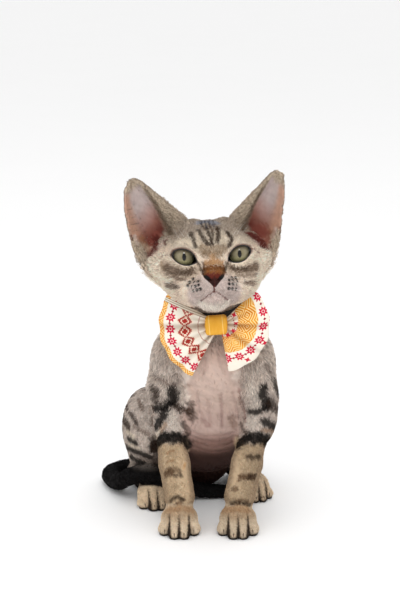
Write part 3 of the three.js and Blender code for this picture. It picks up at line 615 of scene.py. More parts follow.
@dataclass
class Surface:
    """A triangle mesh in millimetres of the kitten's frame."""

    points: Array
    faces: Array

    def summed(self, index: Array, rows: Array) -> Array:
        """The sum, for each point, of the rows that have its number."""
        return np.stack([np.bincount(index, column, len(self.points)) for column in rows.T], -1)

    def normals(self) -> Array:
        """The outward normal at each point."""
        a, b, c = (self.points[self.faces[:, n]] for n in range(3))
        across = np.cross(b - a, c - a)
        return unit(sum(self.summed(self.faces[:, n], across) for n in range(3)))

    def edges(self) -> Array:
        """Each edge once, as two point numbers, the lower first."""
        pairs = np.vstack([self.faces[:, [0, 1]], self.faces[:, [1, 2]], self.faces[:, [2, 0]]])
        return np.unique(np.sort(pairs, axis=1), axis=0)

    def relax(self, share: float) -> None:
        """Moves each point part of the way to the middle of its neighbours."""
        e = self.edges()
        count = np.bincount(e.ravel(), minlength=len(self.points))
        middle = self.summed(e[:, 0], self.points[e[:, 1]]) + self.summed(e[:, 1], self.points[e[:, 0]])
        middle /= np.maximum(count, 1)[:, None]
        self.points = self.points + share * (middle - self.points)

    def settle(self, shape: Field, rounds: int) -> None:
        """Draws the points onto a field's surface."""
        step = 0.06  # millimetres
        for _ in range(rounds):
            f = shape(self.points)
            ahead = [shape(self.points + step * way) for way in np.eye(3)]
            g = np.stack([(v - f) / step for v in ahead], -1)
            steep = np.maximum(dots(g, g), 0.25)
            move = -0.85 * f / steep
            self.points = self.points + np.clip(move, -0.8, 0.8)[:, None] * g

    def refine(self, chosen: Array) -> None:
        """Splits each edge whose two ends are chosen, and the triangles on it."""
        e = self.edges()
        e = e[chosen[e[:, 0]] & chosen[e[:, 1]]]
        count = len(self.points)
        keys = e[:, 0].astype(np.int64) * count + e[:, 1]
        sides = [np.sort(self.faces[:, pair], axis=1) for pair in ([0, 1], [1, 2], [2, 0])]
        halves = []
        for side in sides:
            wanted = side[:, 0].astype(np.int64) * count + side[:, 1]
            at = np.minimum(np.searchsorted(keys, wanted), len(keys) - 1)
            halves.append(np.where(keys[at] == wanted, at + count, -1))
        self.points = np.vstack([self.points, (self.points[e[:, 0]] + self.points[e[:, 1]]) / 2])
        corner, half = self.faces, np.stack(halves, -1)
        number = (half >= 0).sum(1)
        parts = [corner[number == 0]]
        for turn in range(3):
            a, b, c = (corner[:, (turn + n) % 3] for n in range(3))
            ab, bc, ca = (half[:, (turn + n) % 3] for n in range(3))
            one = (number == 1) & (ab >= 0)
            parts += [np.stack(t, -1)[one] for t in ((a, ab, c), (ab, b, c))]
            two = (number == 2) & (ca < 0)
            parts += [np.stack(t, -1)[two] for t in ((a, ab, c), (ab, b, bc), (ab, bc, c))]
        a, b, c = corner.T
        ab, bc, ca = half.T
        full = number == 3
        parts += [np.stack(t, -1)[full] for t in ((a, ab, ca), (ab, b, bc), (ca, bc, c), (ab, bc, ca))]
        self.faces = np.vstack(parts)

    def mesh(self, name: str) -> bpy.types.Mesh:
        """The surface as a Blender mesh in the row frame."""
        return make_mesh(name, self.points, self.faces)


def make_mesh(name: str, points: Array, faces: Array) -> bpy.types.Mesh:
    """A Blender mesh.

    Args:
        name: The mesh's name.
        points: Millimetres in the kitten's frame, one point a row.
        faces: Point numbers, three or four a row.

    Returns:
        The mesh, in metres of the row frame, shaded smooth.
    """
    mesh = bpy.data.meshes.new(name)
    mesh.vertices.add(len(points))
    mesh.vertices.foreach_set("co", ((points + CENTRING) * MM).astype(np.float32).ravel())
    sides = faces.shape[1]
    mesh.loops.add(faces.size)
    mesh.loops.foreach_set("vertex_index", faces.astype(np.int32).ravel())
    mesh.polygons.add(len(faces))
    mesh.polygons.foreach_set("loop_start", np.arange(0, faces.size, sides, dtype=np.int32))
    mesh.update(calc_edges=True)
    mesh.validate()
    mesh.shade_smooth()
    return mesh


def add_object(name: str, mesh: bpy.types.Mesh, material: bpy.types.Material | None) -> bpy.types.Object:
    """Puts a mesh in the scene as an object at the origin that rides on the kitten."""
    piece = bpy.data.objects.new(name, mesh)
    bpy.context.scene.collection.objects.link(piece)
    if material:
        mesh.materials.append(material)
    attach(piece, "root")
    LOG.info("%s: %d faces", name, len(mesh.polygons))
    return piece


def read_surface(shape: Field, low: Array, high: Array, step: float, block: int = 6) -> Surface:
    """Reads a field's surface on a grid, looking closely only where the surface is near.

    Args:
        shape: The field, negative inside.
        low: The grid's lowest corner.
        high: Its highest corner.
        step: The grid's spacing.
        block: How many cells make one block of the first, coarse look.

    Returns:
        A closed surface with one point in each cell that the field's surface crosses.
    """
    blocks = np.ceil((high - low) / (step * block)).astype(int)
    size = blocks * block + 1
    centres = lattice(blocks) + 0.5
    coarse = shape((low + centres * block * step).astype(np.float32)).reshape(blocks)
    values = np.full(size, FAR, np.float32)
    values[:-1, :-1, :-1] = np.repeat(np.repeat(np.repeat(coarse, block, 0), block, 1), block, 2)
    near = np.argwhere(np.abs(coarse) < block * step * 0.9 + 2.5)
    offset = lattice([block + 1] * 3)
    for start in range(0, len(near), 1500):
        index = (near[start : start + 1500, None] * block + offset).reshape(-1, 3)
        values[tuple(index.T)] = shape((low + index * step).astype(np.float32))
    inside = values < 0
    total = np.zeros(size - 1, np.uint8)
    corners = np.array([[c & 1, (c >> 1) & 1, c >> 2] for c in range(8)])
    for a, b, c in corners:
        total += inside[a : size[0] - 1 + a, b : size[1] - 1 + b, c : size[2] - 1 + c]
    cells = np.argwhere((total > 0) & (total < 8))
    v = np.stack([values[tuple((cells + c).T)] for c in corners], -1)
    sums, count = np.zeros((len(cells), 3)), np.zeros(len(cells))
    for c in range(8):
        for bit in (1, 2, 4):
            if c & bit:
                continue
            a, b = v[:, c], v[:, c | bit]
            crossed = (a < 0) != (b < 0)
            t = np.where(crossed, a / np.where(crossed, a - b, 1), 0)
            sums += np.where(crossed[:, None], corners[c] + t[:, None] * (corners[c | bit] - corners[c]), 0)
            count += crossed
    points = low + (cells + sums / count[:, None]) * step
    number = np.full(size - 1, -1, np.int64)
    number[tuple(cells.T)] = np.arange(len(cells))
    faces = []
    here = inside[1:-1, 1:-1, 1:-1]
    for d in range(3):
        e, u, w = np.roll(np.eye(3, dtype=int), -d, axis=0)
        there = inside[tuple(slice(1 + on, long - 1 + on) for on, long in zip(e, size))]
        at = np.argwhere(here != there) + 1
        at = at[at[:, d] < size[d] - 2]
        quad = np.stack([number[tuple((at - o).T)] for o in (0 * e, u, u + w, w)], -1)
        flip = ~inside[tuple(at.T)]
        quad[flip] = quad[flip][:, ::-1]
        faces += [quad[:, [0, 1, 2]], quad[:, [0, 2, 3]]]
    return Surface(points, np.vstack(faces))


@dataclass(frozen=True)
class PictureView:
    """The camera: where it stands and how it looks, and where its sight lines meet the kitten."""

    place: tuple[float, float, float] = (-6, -1240, 429)
    pitch: float = math.radians(12.45)
    focal: float = 1818.0  # in picture points, the picture being 400 by 600
    width: int = 400
    height: int = 600
    nearest: float = 1120.0  # millimetres along a sight line, short of the kitten
    steps: int = 70

    def sight(self, marks: Array) -> Array:
        """Directions from the camera through points of the picture."""
        right = (marks[:, 0] - self.width / 2) / self.focal
        up = -(marks[:, 1] - self.height / 2) / self.focal
        forward = np.array([0, math.cos(self.pitch), -math.sin(self.pitch)])
        upward = np.array([0, math.sin(self.pitch), math.cos(self.pitch)])
        rays = forward + right[:, None] * np.array([1.0, 0, 0]) + up[:, None] * upward
        return unit(rays)

    def meet(self, marks: Sequence[Sequence[float]], shape: Field) -> Array:
        """Where sight lines first meet a field's surface, in the kitten's frame."""
        rays = self.sight(np.array(marks, float))
        gone = np.full(len(rays), self.nearest)
        for _ in range(self.steps):
            gone += np.clip(shape(np.array(self.place) + gone[:, None] * rays) * 0.8, -2, 12)
        return np.array(self.place) + gone[:, None] * rays

    def make(self) -> None:
        """Adds the camera to the scene."""
        data = bpy.data.cameras.new("camera")
        data.sensor_fit = "AUTO"
        data.sensor_width = 36.0
        data.lens = self.focal / self.height * data.sensor_width
        data.clip_end = 20
        eye = bpy.data.objects.new("camera", data)
        eye.location = Vector((np.array(self.place) + CENTRING) * MM)
        eye.rotation_euler = (math.pi / 2 - self.pitch, 0, 0)
        bpy.context.scene.collection.objects.link(eye)
        bpy.context.scene.camera = eye


class Tone(Enum):
    """The colours that the coat's marks are made of."""

    BLACK = (13, 9, 7)
    DARK = (50, 34, 23)
    BROWN = (86, 60, 40)
    SLATE = (62, 62, 70)
    BLUE_GREY = (154, 156, 166)
    RUST = (190, 144, 98)
    UMBER = (124, 78, 42)
    TICKED = (140, 116, 88)
    PALE = (242, 231, 218)
    CREAM = (236, 220, 198)
    # a pale silvery coat, made lighter still as painted sheen
    SILVER = (222, 208, 197)
    # painted shade along the folds of the bare skin
    FOLD = (120, 88, 84)
    TAN = (170, 130, 92)
    PINK = (226, 204, 194)
    REDDISH = (124, 68, 58)
    MAROON = (78, 34, 30)
    LIP = (96, 62, 56)

    def linear(self) -> Array:
        """The tone as a shader's colour."""
        return srgb(*self.value)


@dataclass(frozen=True)
class Mark:
    """A mark of the coat: a line over the kitten, named by points of the picture that it is seen at."""

    points: tuple[tuple[float, float], ...]
    reach: float  # half its width in millimetres
    tone: Tone
    strength: float
    bare: float = 0.0  # how much of the coat is missing there

    @classmethod
    def table(cls, *rows: tuple) -> "tuple[Mark, ...]":
        """Marks from rows of a tone, (reach, strength and perhaps bare), and the points' x and y."""
        marks = []
        for tone, (reach, *shares), *flat in rows:
            marks.append(cls(tuple(zip(flat[::2], flat[1::2])), reach, tone, *shares))
        return tuple(marks)


FACE_MARKS = Mark.table(
    (Tone.TICKED, (3.4, 0.75), 199, 247.5, 206, 250, 216, 250, 224, 247.5),
    (Tone.TICKED, (2.4, 0.75), 205, 254, 213, 256, 220, 254),
    (Tone.CREAM, (1.8, 0.65), 171, 245.5, 180, 242, 190, 242, 196.5, 250),
    (Tone.CREAM, (1.7, 0.45), 230, 250, 236.5, 241, 245, 238.6, 255, 244),
    (Tone.CREAM, (1.2, 0.75), 172.2, 262.4, 182.2, 267.6, 193.3, 266),
    (Tone.CREAM, (1.1, 0.75), 231.1, 264.6, 240, 265.8, 252.2, 261.2),
    (Tone.CREAM, (1.1, 0.65), 196.7, 233, 198.9, 244.4),
    (Tone.CREAM, (0.9, 0.65), 221, 231, 221.4, 243),
    (Tone.CREAM, (0.9, 0.65), 225.2, 233, 225.6, 244.4),
    (Tone.DARK, (1.5, 0.85), 190.6, 233.4, 193.2, 239, 195.2, 246.8),
    (Tone.DARK, (1.44, 0.92), 198.3, 230.4, 201.7, 235.5, 205.4, 241, 207.8, 243.6),
    (Tone.DARK, (1.14, 0.92), 206.7, 228, 208.9, 234.2, 210.6, 239, 211.8, 244.6),
    (Tone.DARK, (0.96, 0.85), 212.4, 229.6, 212.9, 237, 212.4, 243.6),
    (Tone.DARK, (1.5, 0.95), 217.8, 228, 218.3, 234.2, 217.2, 241.4),
    (Tone.DARK, (1.5, 0.95), 227.2, 232.6, 230.8, 237.6, 231.2, 241, 229, 246),
    (Tone.BLUE_GREY, (4.0, 0.95), 201, 223.6, 207.5, 222.2, 214, 223.6),
    (Tone.SLATE, (0.7, 0.95), 200.6, 220.4, 202.4, 227),
    (Tone.SLATE, (0.75, 0.95), 204.4, 219, 206.2, 228),
    (Tone.SLATE, (0.8, 0.95), 208.2, 219, 210, 228),
    (Tone.SLATE, (0.7, 0.95), 212.2, 219, 213.8, 227),
    (Tone.BROWN, (0.8, 0.5), 203, 226.5, 205, 230),
    (Tone.BROWN, (0.8, 0.6), 210, 226, 211.6, 231),
    (Tone.BROWN, (0.7, 0.5), 215.4, 225, 216.6, 229),
    (Tone.RUST, (1.9, 0.6), 212.5, 256.5, 213.6, 262),
    (Tone.RUST, (2.6, 0.9), 206.4, 263.6, 214, 262, 221.6, 263.6),
    (Tone.UMBER, (3.0, 1.0), 204.8, 269.6, 214, 268.8, 223.4, 269.6),
    # Each ear's marginal pocket: a pink fold beside a maroon slit, the slit painted shade of its opening.
    (Tone.PINK, (1.9, 0.6), 134.5, 236.5, 137, 243),
    (Tone.MAROON, (0.8, 0.9), 131, 235.5, 131.7, 240),
    (Tone.PINK, (1.9, 0.6), 275.6, 230, 273, 236.5),
    (Tone.MAROON, (0.8, 0.9), 279.8, 228.6, 279.9, 233.5),
    (Tone.UMBER, (2.8, 0.45, 0.6), 141, 239, 145, 245, 149, 250),
    (Tone.REDDISH, (4.2, 0.85, 0.9), 157, 237, 155, 243, 152, 249, 150.4, 253),
    (Tone.MAROON, (2.4, 0.9, 0.9), 156, 238, 155.5, 245, 152.5, 250, 150.6, 254),
    (Tone.MAROON, (1.0, 0.9, 0.9), 167, 240, 163.8, 242, 166, 244.4),
    (Tone.PINK, (1.3, 0.5), 162.4, 243.6, 159.4, 246.6),
    (Tone.UMBER, (2.8, 0.45, 0.6), 272.5, 233, 268.5, 239, 265.8, 243),
    (Tone.REDDISH, (4.0, 0.85, 0.9), 256, 230, 260, 236, 263, 241, 264.8, 246),
    (Tone.REDDISH, (3.4, 0.85, 0.9), 250, 234, 256, 238, 261, 243),
    (Tone.REDDISH, (3.0, 0.7, 0.8), 264, 229, 266.5, 235, 267, 241),
    (Tone.MAROON, (2.7, 0.95, 0.9), 249, 233, 254, 236.5, 260, 240.5, 264.6, 247),
    (Tone.PINK, (1.2, 0.4), 254.4, 241.4, 257, 243.6),
    # Painted shade down both sides of the nose bridge, from the eyes' inner corners to the nose.
    (Tone.BROWN, (1.2, 0.65), 202.6, 262.5, 204, 268, 205.4, 272),
    (Tone.BROWN, (1.1, 0.65), 225.8, 262, 224.8, 268, 223.6, 272),
    (Tone.DARK, (1.26, 0.92), 195, 259.5, 198.9, 264.2, 201.7, 269.8, 203, 273),
    (Tone.DARK, (1.2, 0.88), 229.6, 260.5, 227, 265, 225.4, 270.5),
    (Tone.BROWN, (0.55, 0.85), 170.6, 254.4, 163.3, 256.8, 161.5, 259),
    (Tone.REDDISH, (0.6, 0.8), 251.6, 248.6, 255.5, 250.4, 258.4, 254.4),
    (Tone.TICKED, (4.2, 0.46), 165, 266, 174, 271, 187, 273.6, 196, 270),
    (Tone.TICKED, (3.5, 0.46), 230, 268.6, 241, 271, 254, 268),
    (Tone.BROWN, (2.6, 0.75), 167, 268, 176.7, 271.6, 185.6, 272.6, 192.4, 271.2),
    (Tone.DARK, (1.56, 0.5), 181, 272.6, 190, 271.8),
    (Tone.BROWN, (1.1, 0.62), 167.9, 274.8, 178.9, 278.4, 185, 279),
    (Tone.TICKED, (1.4, 0.6), 162.6, 263, 166, 269),
    (Tone.BROWN, (2.0, 0.77), 231.6, 268.2, 237.8, 270.2, 247.8, 269.4, 255, 266.4),
    (Tone.DARK, (1.32, 0.55), 233.5, 268.4, 246, 268.2),
    (Tone.BROWN, (1.1, 0.55), 236.7, 274.4, 244.4, 275.8, 254, 274.4),
    (Tone.DARK, (1.92, 0.8), 168.4, 284.6, 176.8, 286),
    (Tone.BROWN, (0.9, 0.5), 171, 283, 181, 279),
    (Tone.BROWN, (1.5, 0.8), 245.2, 282.4, 252.6, 283),
    (Tone.TICKED, (1.7, 0.4), 188, 284.6, 194, 281, 199, 281),
    (Tone.TICKED, (1.7, 0.4), 229.6, 280, 237, 280),
    (Tone.PALE, (5.2, 0.98), 203, 306.5, 214, 309.5, 224, 306.5),
    (Tone.PINK, (2.4, 0.6), 208, 300.5, 214.4, 298, 221, 300.5),
    (Tone.MAROON, (0.8, 0.95, 0.9), 214.4, 286.4, 214.4, 292),
    (Tone.LIP, (0.62, 0.95, 0.9), 213.6, 291.4, 208.9, 294.8, 205, 298, 201.1, 300.9),
    (Tone.LIP, (0.62, 0.95, 0.9), 215.4, 291.4, 220, 294.2, 224.4, 297.4, 227.8, 299.8),
)

# Where whiskers grow, by points of the picture.
WHISKER_SPOTS = (
    (193.3, 279), (189.8, 282.2), (194.2, 282), (198, 281.4), (191.7, 286.4), (195.4, 286.2),
    (198.6, 284.9), (193.3, 290.9), (196.9, 289.8), (200.4, 289), (187.8, 285.6), (232, 277.6),
    (235.4, 277.8), (229.2, 280), (232.8, 280.4), (236.8, 280.8), (229.4, 283.8), (232.9, 284),
    (236.5, 284.4), (229, 288.4), (232.4, 288.7), (235.8, 288.9),
)

# Lines of the picture that the thin hairs of the ears start from and reach to, by turns.
INNER_EAR_HAIRS = (
    ((164, 246), (160.5, 249.5), (157, 252), (153, 255), (150, 257.5)),
    ((157, 239), (154, 242), (150.5, 245), (147.5, 248), (144, 251)),
    ((252, 240), (255.5, 244), (259, 247), (262, 250), (265, 252.5)),
    ((259, 233), (262, 237), (265.5, 241), (268.5, 245), (271.5, 248)),
)

BODY_MARKS = Mark.table(
    # Pale silvery coat on the shoulders, lightened as painted sheen.
    (Tone.SILVER, (5.0, 0.7), 150, 352, 155, 362, 160, 373),
    (Tone.SILVER, (5.0, 0.85), 158, 366, 170, 370, 183, 376),
    (Tone.SILVER, (3.6, 0.6), 236, 376, 248, 374, 262, 370),
    (Tone.SILVER, (4.5, 0.5), 134, 393, 141, 388, 149, 383),
    (Tone.SILVER, (3.0, 0.6), 163, 381, 164, 395),
    (Tone.PALE, (4.0, 0.6), 181, 389, 184, 397, 184, 404),
    (Tone.PALE, (4.6, 0.45), 171, 415, 174, 422, 178, 429),
    (Tone.TAN, (2.0, 0.5), 165, 424, 161, 431),
    (Tone.CREAM, (1.7, 0.5), 156, 437, 159, 432),
    (Tone.BROWN, (1.8, 0.5), 155, 377, 161, 380, 167, 384),
    (Tone.BROWN, (1.6, 0.3), 172, 385, 181, 388, 190, 385),
    (Tone.DARK, (3.3, 0.9), 153.5, 389, 156, 394, 156, 400),
    (Tone.BLACK, (3.8, 0.95), 171.6, 390, 174, 396, 171, 402.5),
    (Tone.BLACK, (2.8, 0.92), 170, 403, 163, 406.5, 154, 408.4),
    (Tone.BLACK, (3.1, 0.94), 166, 409, 161.8, 417, 156, 426.4),
    (Tone.DARK, (2.8, 0.9), 176, 406, 182, 409, 188, 411.5),
    (Tone.DARK, (3.1, 0.8), 190, 404, 191.6, 411, 192, 418),
    (Tone.DARK, (2.1, 0.75), 183, 424, 186, 428, 187.4, 433),
    (Tone.BROWN, (1.3, 0.6), 153, 405, 153.4, 415, 152.4, 425),
    (Tone.BLACK, (4.7, 0.98), 155.4, 448, 158.6, 442, 164, 438, 173, 437.4, 182, 439, 186.4, 445),
    # Pale silvery coat on the shoulder, lightened as painted sheen.
    (Tone.SILVER, (2.0, 0.6), 268, 377, 268.6, 387, 269.4, 396),
    (Tone.PALE, (4.5, 0.45), 252, 387, 257, 396, 257, 405),
    (Tone.PALE, (4.6, 0.25), 250.6, 420, 256, 425, 259.6, 430),
    (Tone.TAN, (1.8, 0.6), 263, 430.4, 270, 430, 275, 434),
    (Tone.BLACK, (3.3, 0.93), 264, 387, 262, 393, 264.4, 400, 268, 407),
    (Tone.BLACK, (3.1, 0.9), 273, 381, 275.6, 391, 278.4, 400, 279, 414),
    (Tone.DARK, (3.8, 0.9), 268, 402, 273, 406, 277, 410),
    (Tone.BLACK, (2.6, 0.93), 251.6, 412.4, 258, 411, 263.6, 408),
    (Tone.BLACK, (3.0, 0.93), 263.6, 421, 270.4, 424.4, 277, 429),
    (Tone.BLACK, (4.9, 0.98), 239.6, 443, 246, 439, 254, 438, 262, 438.6, 268.6, 444, 269.6, 450),
    (Tone.BROWN, (2.7, 0.5), 232, 418, 235, 425),
    (Tone.DARK, (1.8, 0.7), 241, 424, 242.6, 429, 246, 433),
    (Tone.BROWN, (2.4, 0.45), 266, 366, 270, 374),
    (Tone.DARK, (1.8, 0.85), 126.6, 403, 128, 410),
    (Tone.DARK, (1.9, 0.85), 129.4, 412, 133.4, 417.4, 137.4, 424),
    (Tone.DARK, (3.3, 0.92), 122, 416, 125, 421, 129, 428.6),
    (Tone.BROWN, (1.6, 0.7), 138.3, 400, 142.8, 409),
    (Tone.BROWN, (1.4, 0.6), 134, 426, 142, 431.5, 149, 434),
    (Tone.BLACK, (2.2, 0.92), 128, 438, 132, 441, 136.6, 443.6),
    (Tone.BLACK, (2.8, 0.92), 127, 447, 136, 451.4, 150, 457),
    (Tone.BLACK, (2.8, 0.88), 131, 457, 143.9, 463),
    # Painted shade on the inner side, next to the foreleg.
    (Tone.DARK, (3.4, 0.75), 154, 440, 155.6, 450, 157, 463),
    (Tone.CREAM, (1.7, 0.65), 127, 431.5, 134, 437),
    (Tone.CREAM, (1.2, 0.65), 128.3, 443.6, 139.4, 448.6),
    # Painted shade in folds of the chest skin.
    (Tone.FOLD, (0.9, 0.32), 221.5, 393, 221.8, 407, 221.5, 429),
    (Tone.FOLD, (1.8, 0.45), 203, 421, 208, 425),
    (Tone.REDDISH, (0.9, 0.55), 238.3, 389, 241.7, 400, 243.9, 409, 245.6, 421),
    (Tone.TAN, (1.2, 0.7), 168, 453, 173, 451),
    (Tone.TAN, (1.1, 0.6), 168, 462, 173, 460),
    (Tone.RUST, (0.9, 0.8), 183.6, 468, 185, 464),
    (Tone.BROWN, (2.6, 0.85), 166, 473.5, 172, 472.6),
    (Tone.DARK, (1.69, 0.8), 175.6, 475.4, 180, 474.6),
    (Tone.BROWN, (1.95, 0.65), 170, 469.4, 178, 470),
    (Tone.DARK, (1.43, 0.88), 170, 501.4, 176, 497.5, 183.8, 500),
    (Tone.BROWN, (1.04, 0.7), 175, 504, 182, 503),
    # Painted shade on the top of the paw.
    (Tone.TAN, (3.0, 0.6), 168, 510, 180, 508.6, 191, 510),
    (Tone.RUST, (1.5, 0.7), 195, 503, 199, 510, 201, 517),
    (Tone.DARK, (2.21, 0.85), 248.6, 456.6, 253, 457.6, 259, 457),
    (Tone.BROWN, (2.6, 0.88), 241, 478.4, 247, 476.4, 254, 477),
    (Tone.DARK, (1.69, 0.8), 249, 477.4, 255, 476.6),
    (Tone.BROWN, (1.69, 0.7), 233, 488.6, 236.4, 489),
    (Tone.DARK, (1.43, 0.9), 231, 504, 240, 502.6, 250, 505),
    (Tone.BROWN, (1.04, 0.75), 236, 500.5, 243, 499.5, 248, 501),
    # Painted shade on the top of the paw.
    (Tone.TAN, (3.0, 0.65), 222, 510, 234, 509, 247, 510),
)

# Folds of the bare skin, by points of the picture: dents of the skin's bump, with painted shade along them.
SKIN_FOLDS = (
    ((190, 431), (200, 435), (212, 436), (225, 435), (237, 431)),
    ((191, 436), (202, 440), (214, 441.5), (226, 440), (237, 436)),
    ((193, 441), (204, 445.5), (215, 447), (227, 445), (236, 441)),
    ((195, 447), (206, 451), (216, 452), (228, 450)),
    ((240, 388), (243, 400), (246, 412)),
    ((233, 392), (236, 405), (238, 418)),
    ((197, 394), (199, 408), (204, 420)),
    ((208, 400), (209, 414), (211, 426)),
    ((220, 396), (222, 412), (222, 426)),
    ((206, 358), (205, 366), (203, 374)),
    ((218, 352), (220, 362), (224, 372)),
    ((160, 378), (170, 384), (180, 382)),
)


class Paint:
    """Colours laid one over another, one for each place."""

    def __init__(self, count: int, shade: Sequence[float]) -> None:
        """Starts with one colour of 0 to 255 everywhere."""
        self.colour = np.tile(srgb(*shade), (count, 1))

    def lay(self, shade: Sequence[float], mask: Array, light: float = 1.0) -> None:
        """Lays a colour of 0 to 255, made lighter or darker, where the mask is 1."""
        self.blend(srgb(*shade) * light, mask)

    def blend(self, colour: Array, mask: Array) -> None:
        """Lays linear colours where the mask is 1."""
        self.colour = self.colour + np.clip(mask, 0, 1)[:, None] * (colour - self.colour)


class CoatPattern:
    """The colours and the lie of the coat, for the skin and for every tuft."""

    ear_hollow = (37, 10, 9), (9, 16, 10)  # the middle and radii of the hollow at the foot of the left ear
    leather_edge = [-19.5, -17.0, -13.5, -11.0, -9.0], [0.9, 2.8, 6.6, 7.4, 5.0]  # heights, half widths
    solid = (Tone.BLACK, Tone.RUST, Tone.UMBER, Tone.MAROON, Tone.REDDISH)  # tones with few pale hairs

    def __init__(self, flesh: Flesh, view: PictureView) -> None:
        """Lays the marks over the kitten once."""
        self.flesh = flesh
        marks = FACE_MARKS + BODY_MARKS
        bends = [self.bent(m.points) for m in marks] + [self.bent(points) for points in SKIN_FOLDS]
        met = view.meet(np.vstack(bends + [np.array(WHISKER_SPOTS)]), flesh.skin)
        paths = np.split(met, np.cumsum([len(bend) for bend in bends]))
        self.spots = paths.pop()
        self.lines = list(zip(marks, paths))
        self.folds = paths[len(marks) :]

    @staticmethod
    def bent(points: Sequence[Sequence[float]]) -> Array:
        """A smooth line through points of the picture."""
        return curve_through([(x, y, 0) for x, y in points], 4)[:, :2]

    @staticmethod
    def covers(mark: Mark, path: Array, p: Array, coarse: Array, streak: Array) -> Array:
        """How much of a mark is on each place, from 0 to 1, with hairy edges.

        Args:
            mark: The mark.
            path: Its line on the kitten.
            p: The places.
            coarse: A slow noise that widens and narrows the mark.
            streak: A quick noise drawn out along the hairs.
        """
        margin = mark.reach * 2 + 1
        mask = np.zeros(len(p))
        at = in_box(p, path.min(0) - margin, path.max(0) + margin)
        if len(at):
            reach = mark.reach * (1 + 0.2 * coarse[at])
            distance = line_distance(p[at], [path]) + 0.3 * np.minimum(reach, 2.6) * streak[at]
            soft = 0.25 + 0.3 * mark.reach
            mask[at] = ease(distance, reach + soft, reach - soft)
        return mask

    def ear_lining(self, p: Array) -> tuple[Array, Array, Array]:
        """The bare inside of the ears.

        Args:
            p: Places on the kitten.

        Returns:
            How bare each place is, how far up its ear it is, and how far beyond the furry inner rim.
        """
        bare, height, past = np.zeros(len(p)), np.zeros(len(p)), np.zeros(len(p))
        for s in BOTH:
            distance, across, up, cup = self.flesh.ears[s].places(p)
            inside = ease(distance, 2.8, 2.0) * (cup >= 0) * (up > 0.04)
            beyond = across - (0.48 - 0.5 * up)
            found = inside * ease(beyond, -0.03, 0.09) * ease(up, 0.93, 0.84)
            found *= ease(up - 0.27 - 0.75 * np.maximum(across - 0.75, 0), -0.02, 0.05)
            bare = np.maximum(bare, found)
            height, past = np.where(inside > 0, up, height), np.where(inside > 0, beyond, past)
        return bare, height, past

    def colour(self, p: Array, n: Array) -> Array:
        """The coat's colour.

        Args:
            p: Places on the kitten in millimetres.
            n: The outward normal at each.

        Returns:
            A linear colour for each place.
        """
        noise = wobble(p, 9, 3)
        fine = wobble(p * np.array([1.8, 1.8, 0.6]), 2.2, 5)
        coarse = np.where(p[:, 2] > HEAD_FROM, wobble(p, 3.2, 71), wobble(p, 7, 72))
        paint = Paint(len(p), (206, 191, 180))
        self.paint_trunk(paint, p, n, noise, coarse)
        for side in BOTH:
            self.paint_limbs(paint, p, n, noise, side)
        self.paint_tail(paint, p)
        self.paint_head(paint, p, noise)
        self.paint_marks(paint, p, n, coarse, fine)
        return np.clip(paint.colour * (1 + 0.06 * noise + 0.06 * fine)[:, None], 0.003, 0.95)

    @staticmethod
    def paint_trunk(paint: Paint, p: Array, n: Array, noise: Array, coarse: Array) -> None:
        """Lays the colours of the back, flanks, chest, belly and shoulders, with painted shade under the
        bow, low between the forelegs and under the body.
        """
        x, y, z = p.T
        back = ease(n[:, 1], -0.1, 0.5)
        paint.lay((150, 134, 122), back * 0.7)
        from_spine = np.abs(x - 1 + 0.08 * y + 2.6 * wobble(p, 34, 22))
        spine = ease(from_spine, 7.0 + 2.5 * noise, 2.5) + 0.45 * ease(np.abs(from_spine - 13), 3.4, 1.6)
        paint.lay((62, 51, 46), spine * back * ease(z, 20, 40) * (0.8 + 0.4 * coarse))
        swirl = np.sin((y * 0.62 + z * 0.55) * 0.42 + 2.2 * wobble(p, 60, 21)) + 0.35 * noise
        flank = ease(np.abs(n[:, 0]) + 0.8 * back, 0.3, 0.75) * ease(z, 128, 112)
        flank *= ease(n[:, 1], -0.35, 0.0)
        paint.lay((66, 54, 48), flank * ease(swirl, 0.25, 0.95) * 0.85)
        chest = ease(-n[:, 1], 0.1, 0.65) * ease(np.abs(x - 2), 27, 15) * ease(z, 138, 118)
        paint.lay((194, 170, 158), chest)
        # Darker at the top of the chest, under the bow: painted shade.
        paint.lay((162, 136, 124), chest * ease(z, 112, 132))
        # Darker step by step towards the bottom, between the forelegs: painted shade.
        paint.lay((176, 152, 142), chest * ease(z, 88, 70))
        paint.lay((122, 96, 87), chest * ease(z, 64, 54))
        paint.lay((62, 44, 38), chest * ease(z, 52, 41))
        # Undersides facing the floor darkened: painted shade.
        under = ease(-n[:, 2], 0.2, 0.7) * ease(z, 60, 46)
        paint.lay((60, 42, 38), under * 0.9)
        shoulder = ease(np.abs(x - 2), 20, 30) * ease(z, 84, 96) * ease(-n[:, 1], -0.2, 0.4)
        paint.lay((224, 208, 195), shoulder * 0.9)

    def paint_limbs(self, paint: Paint, p: Array, n: Array, noise: Array, s: int) -> None:
        """Lays the colours of one side's legs, paws and toes, with painted shade on the legs' sides and
        backs, on the paws' tops and between the toes.
        """
        flesh = self.flesh
        _, y, z = p.T
        leg = ease(flesh.forelegs[s](p), 3.2, 1.2) * ease(z, 60, 54) * ease(y, 14, 8)
        paint.lay((202, 176, 144), leg, 0.9 - 0.09 * s)
        # Darker on the legs' sides and backs: painted shade.
        paint.lay((170, 146, 120), leg * ease(np.abs(n[:, 0]), 0.5, 0.95))
        paint.lay((150, 128, 108), leg * ease(n[:, 1], 0.2, 0.9) * 0.7)
        paw = ease(flesh.paws[s](p), 3.0, 1.0)
        paint.lay((226, 204, 176), paw, 0.96 - 0.05 * s)
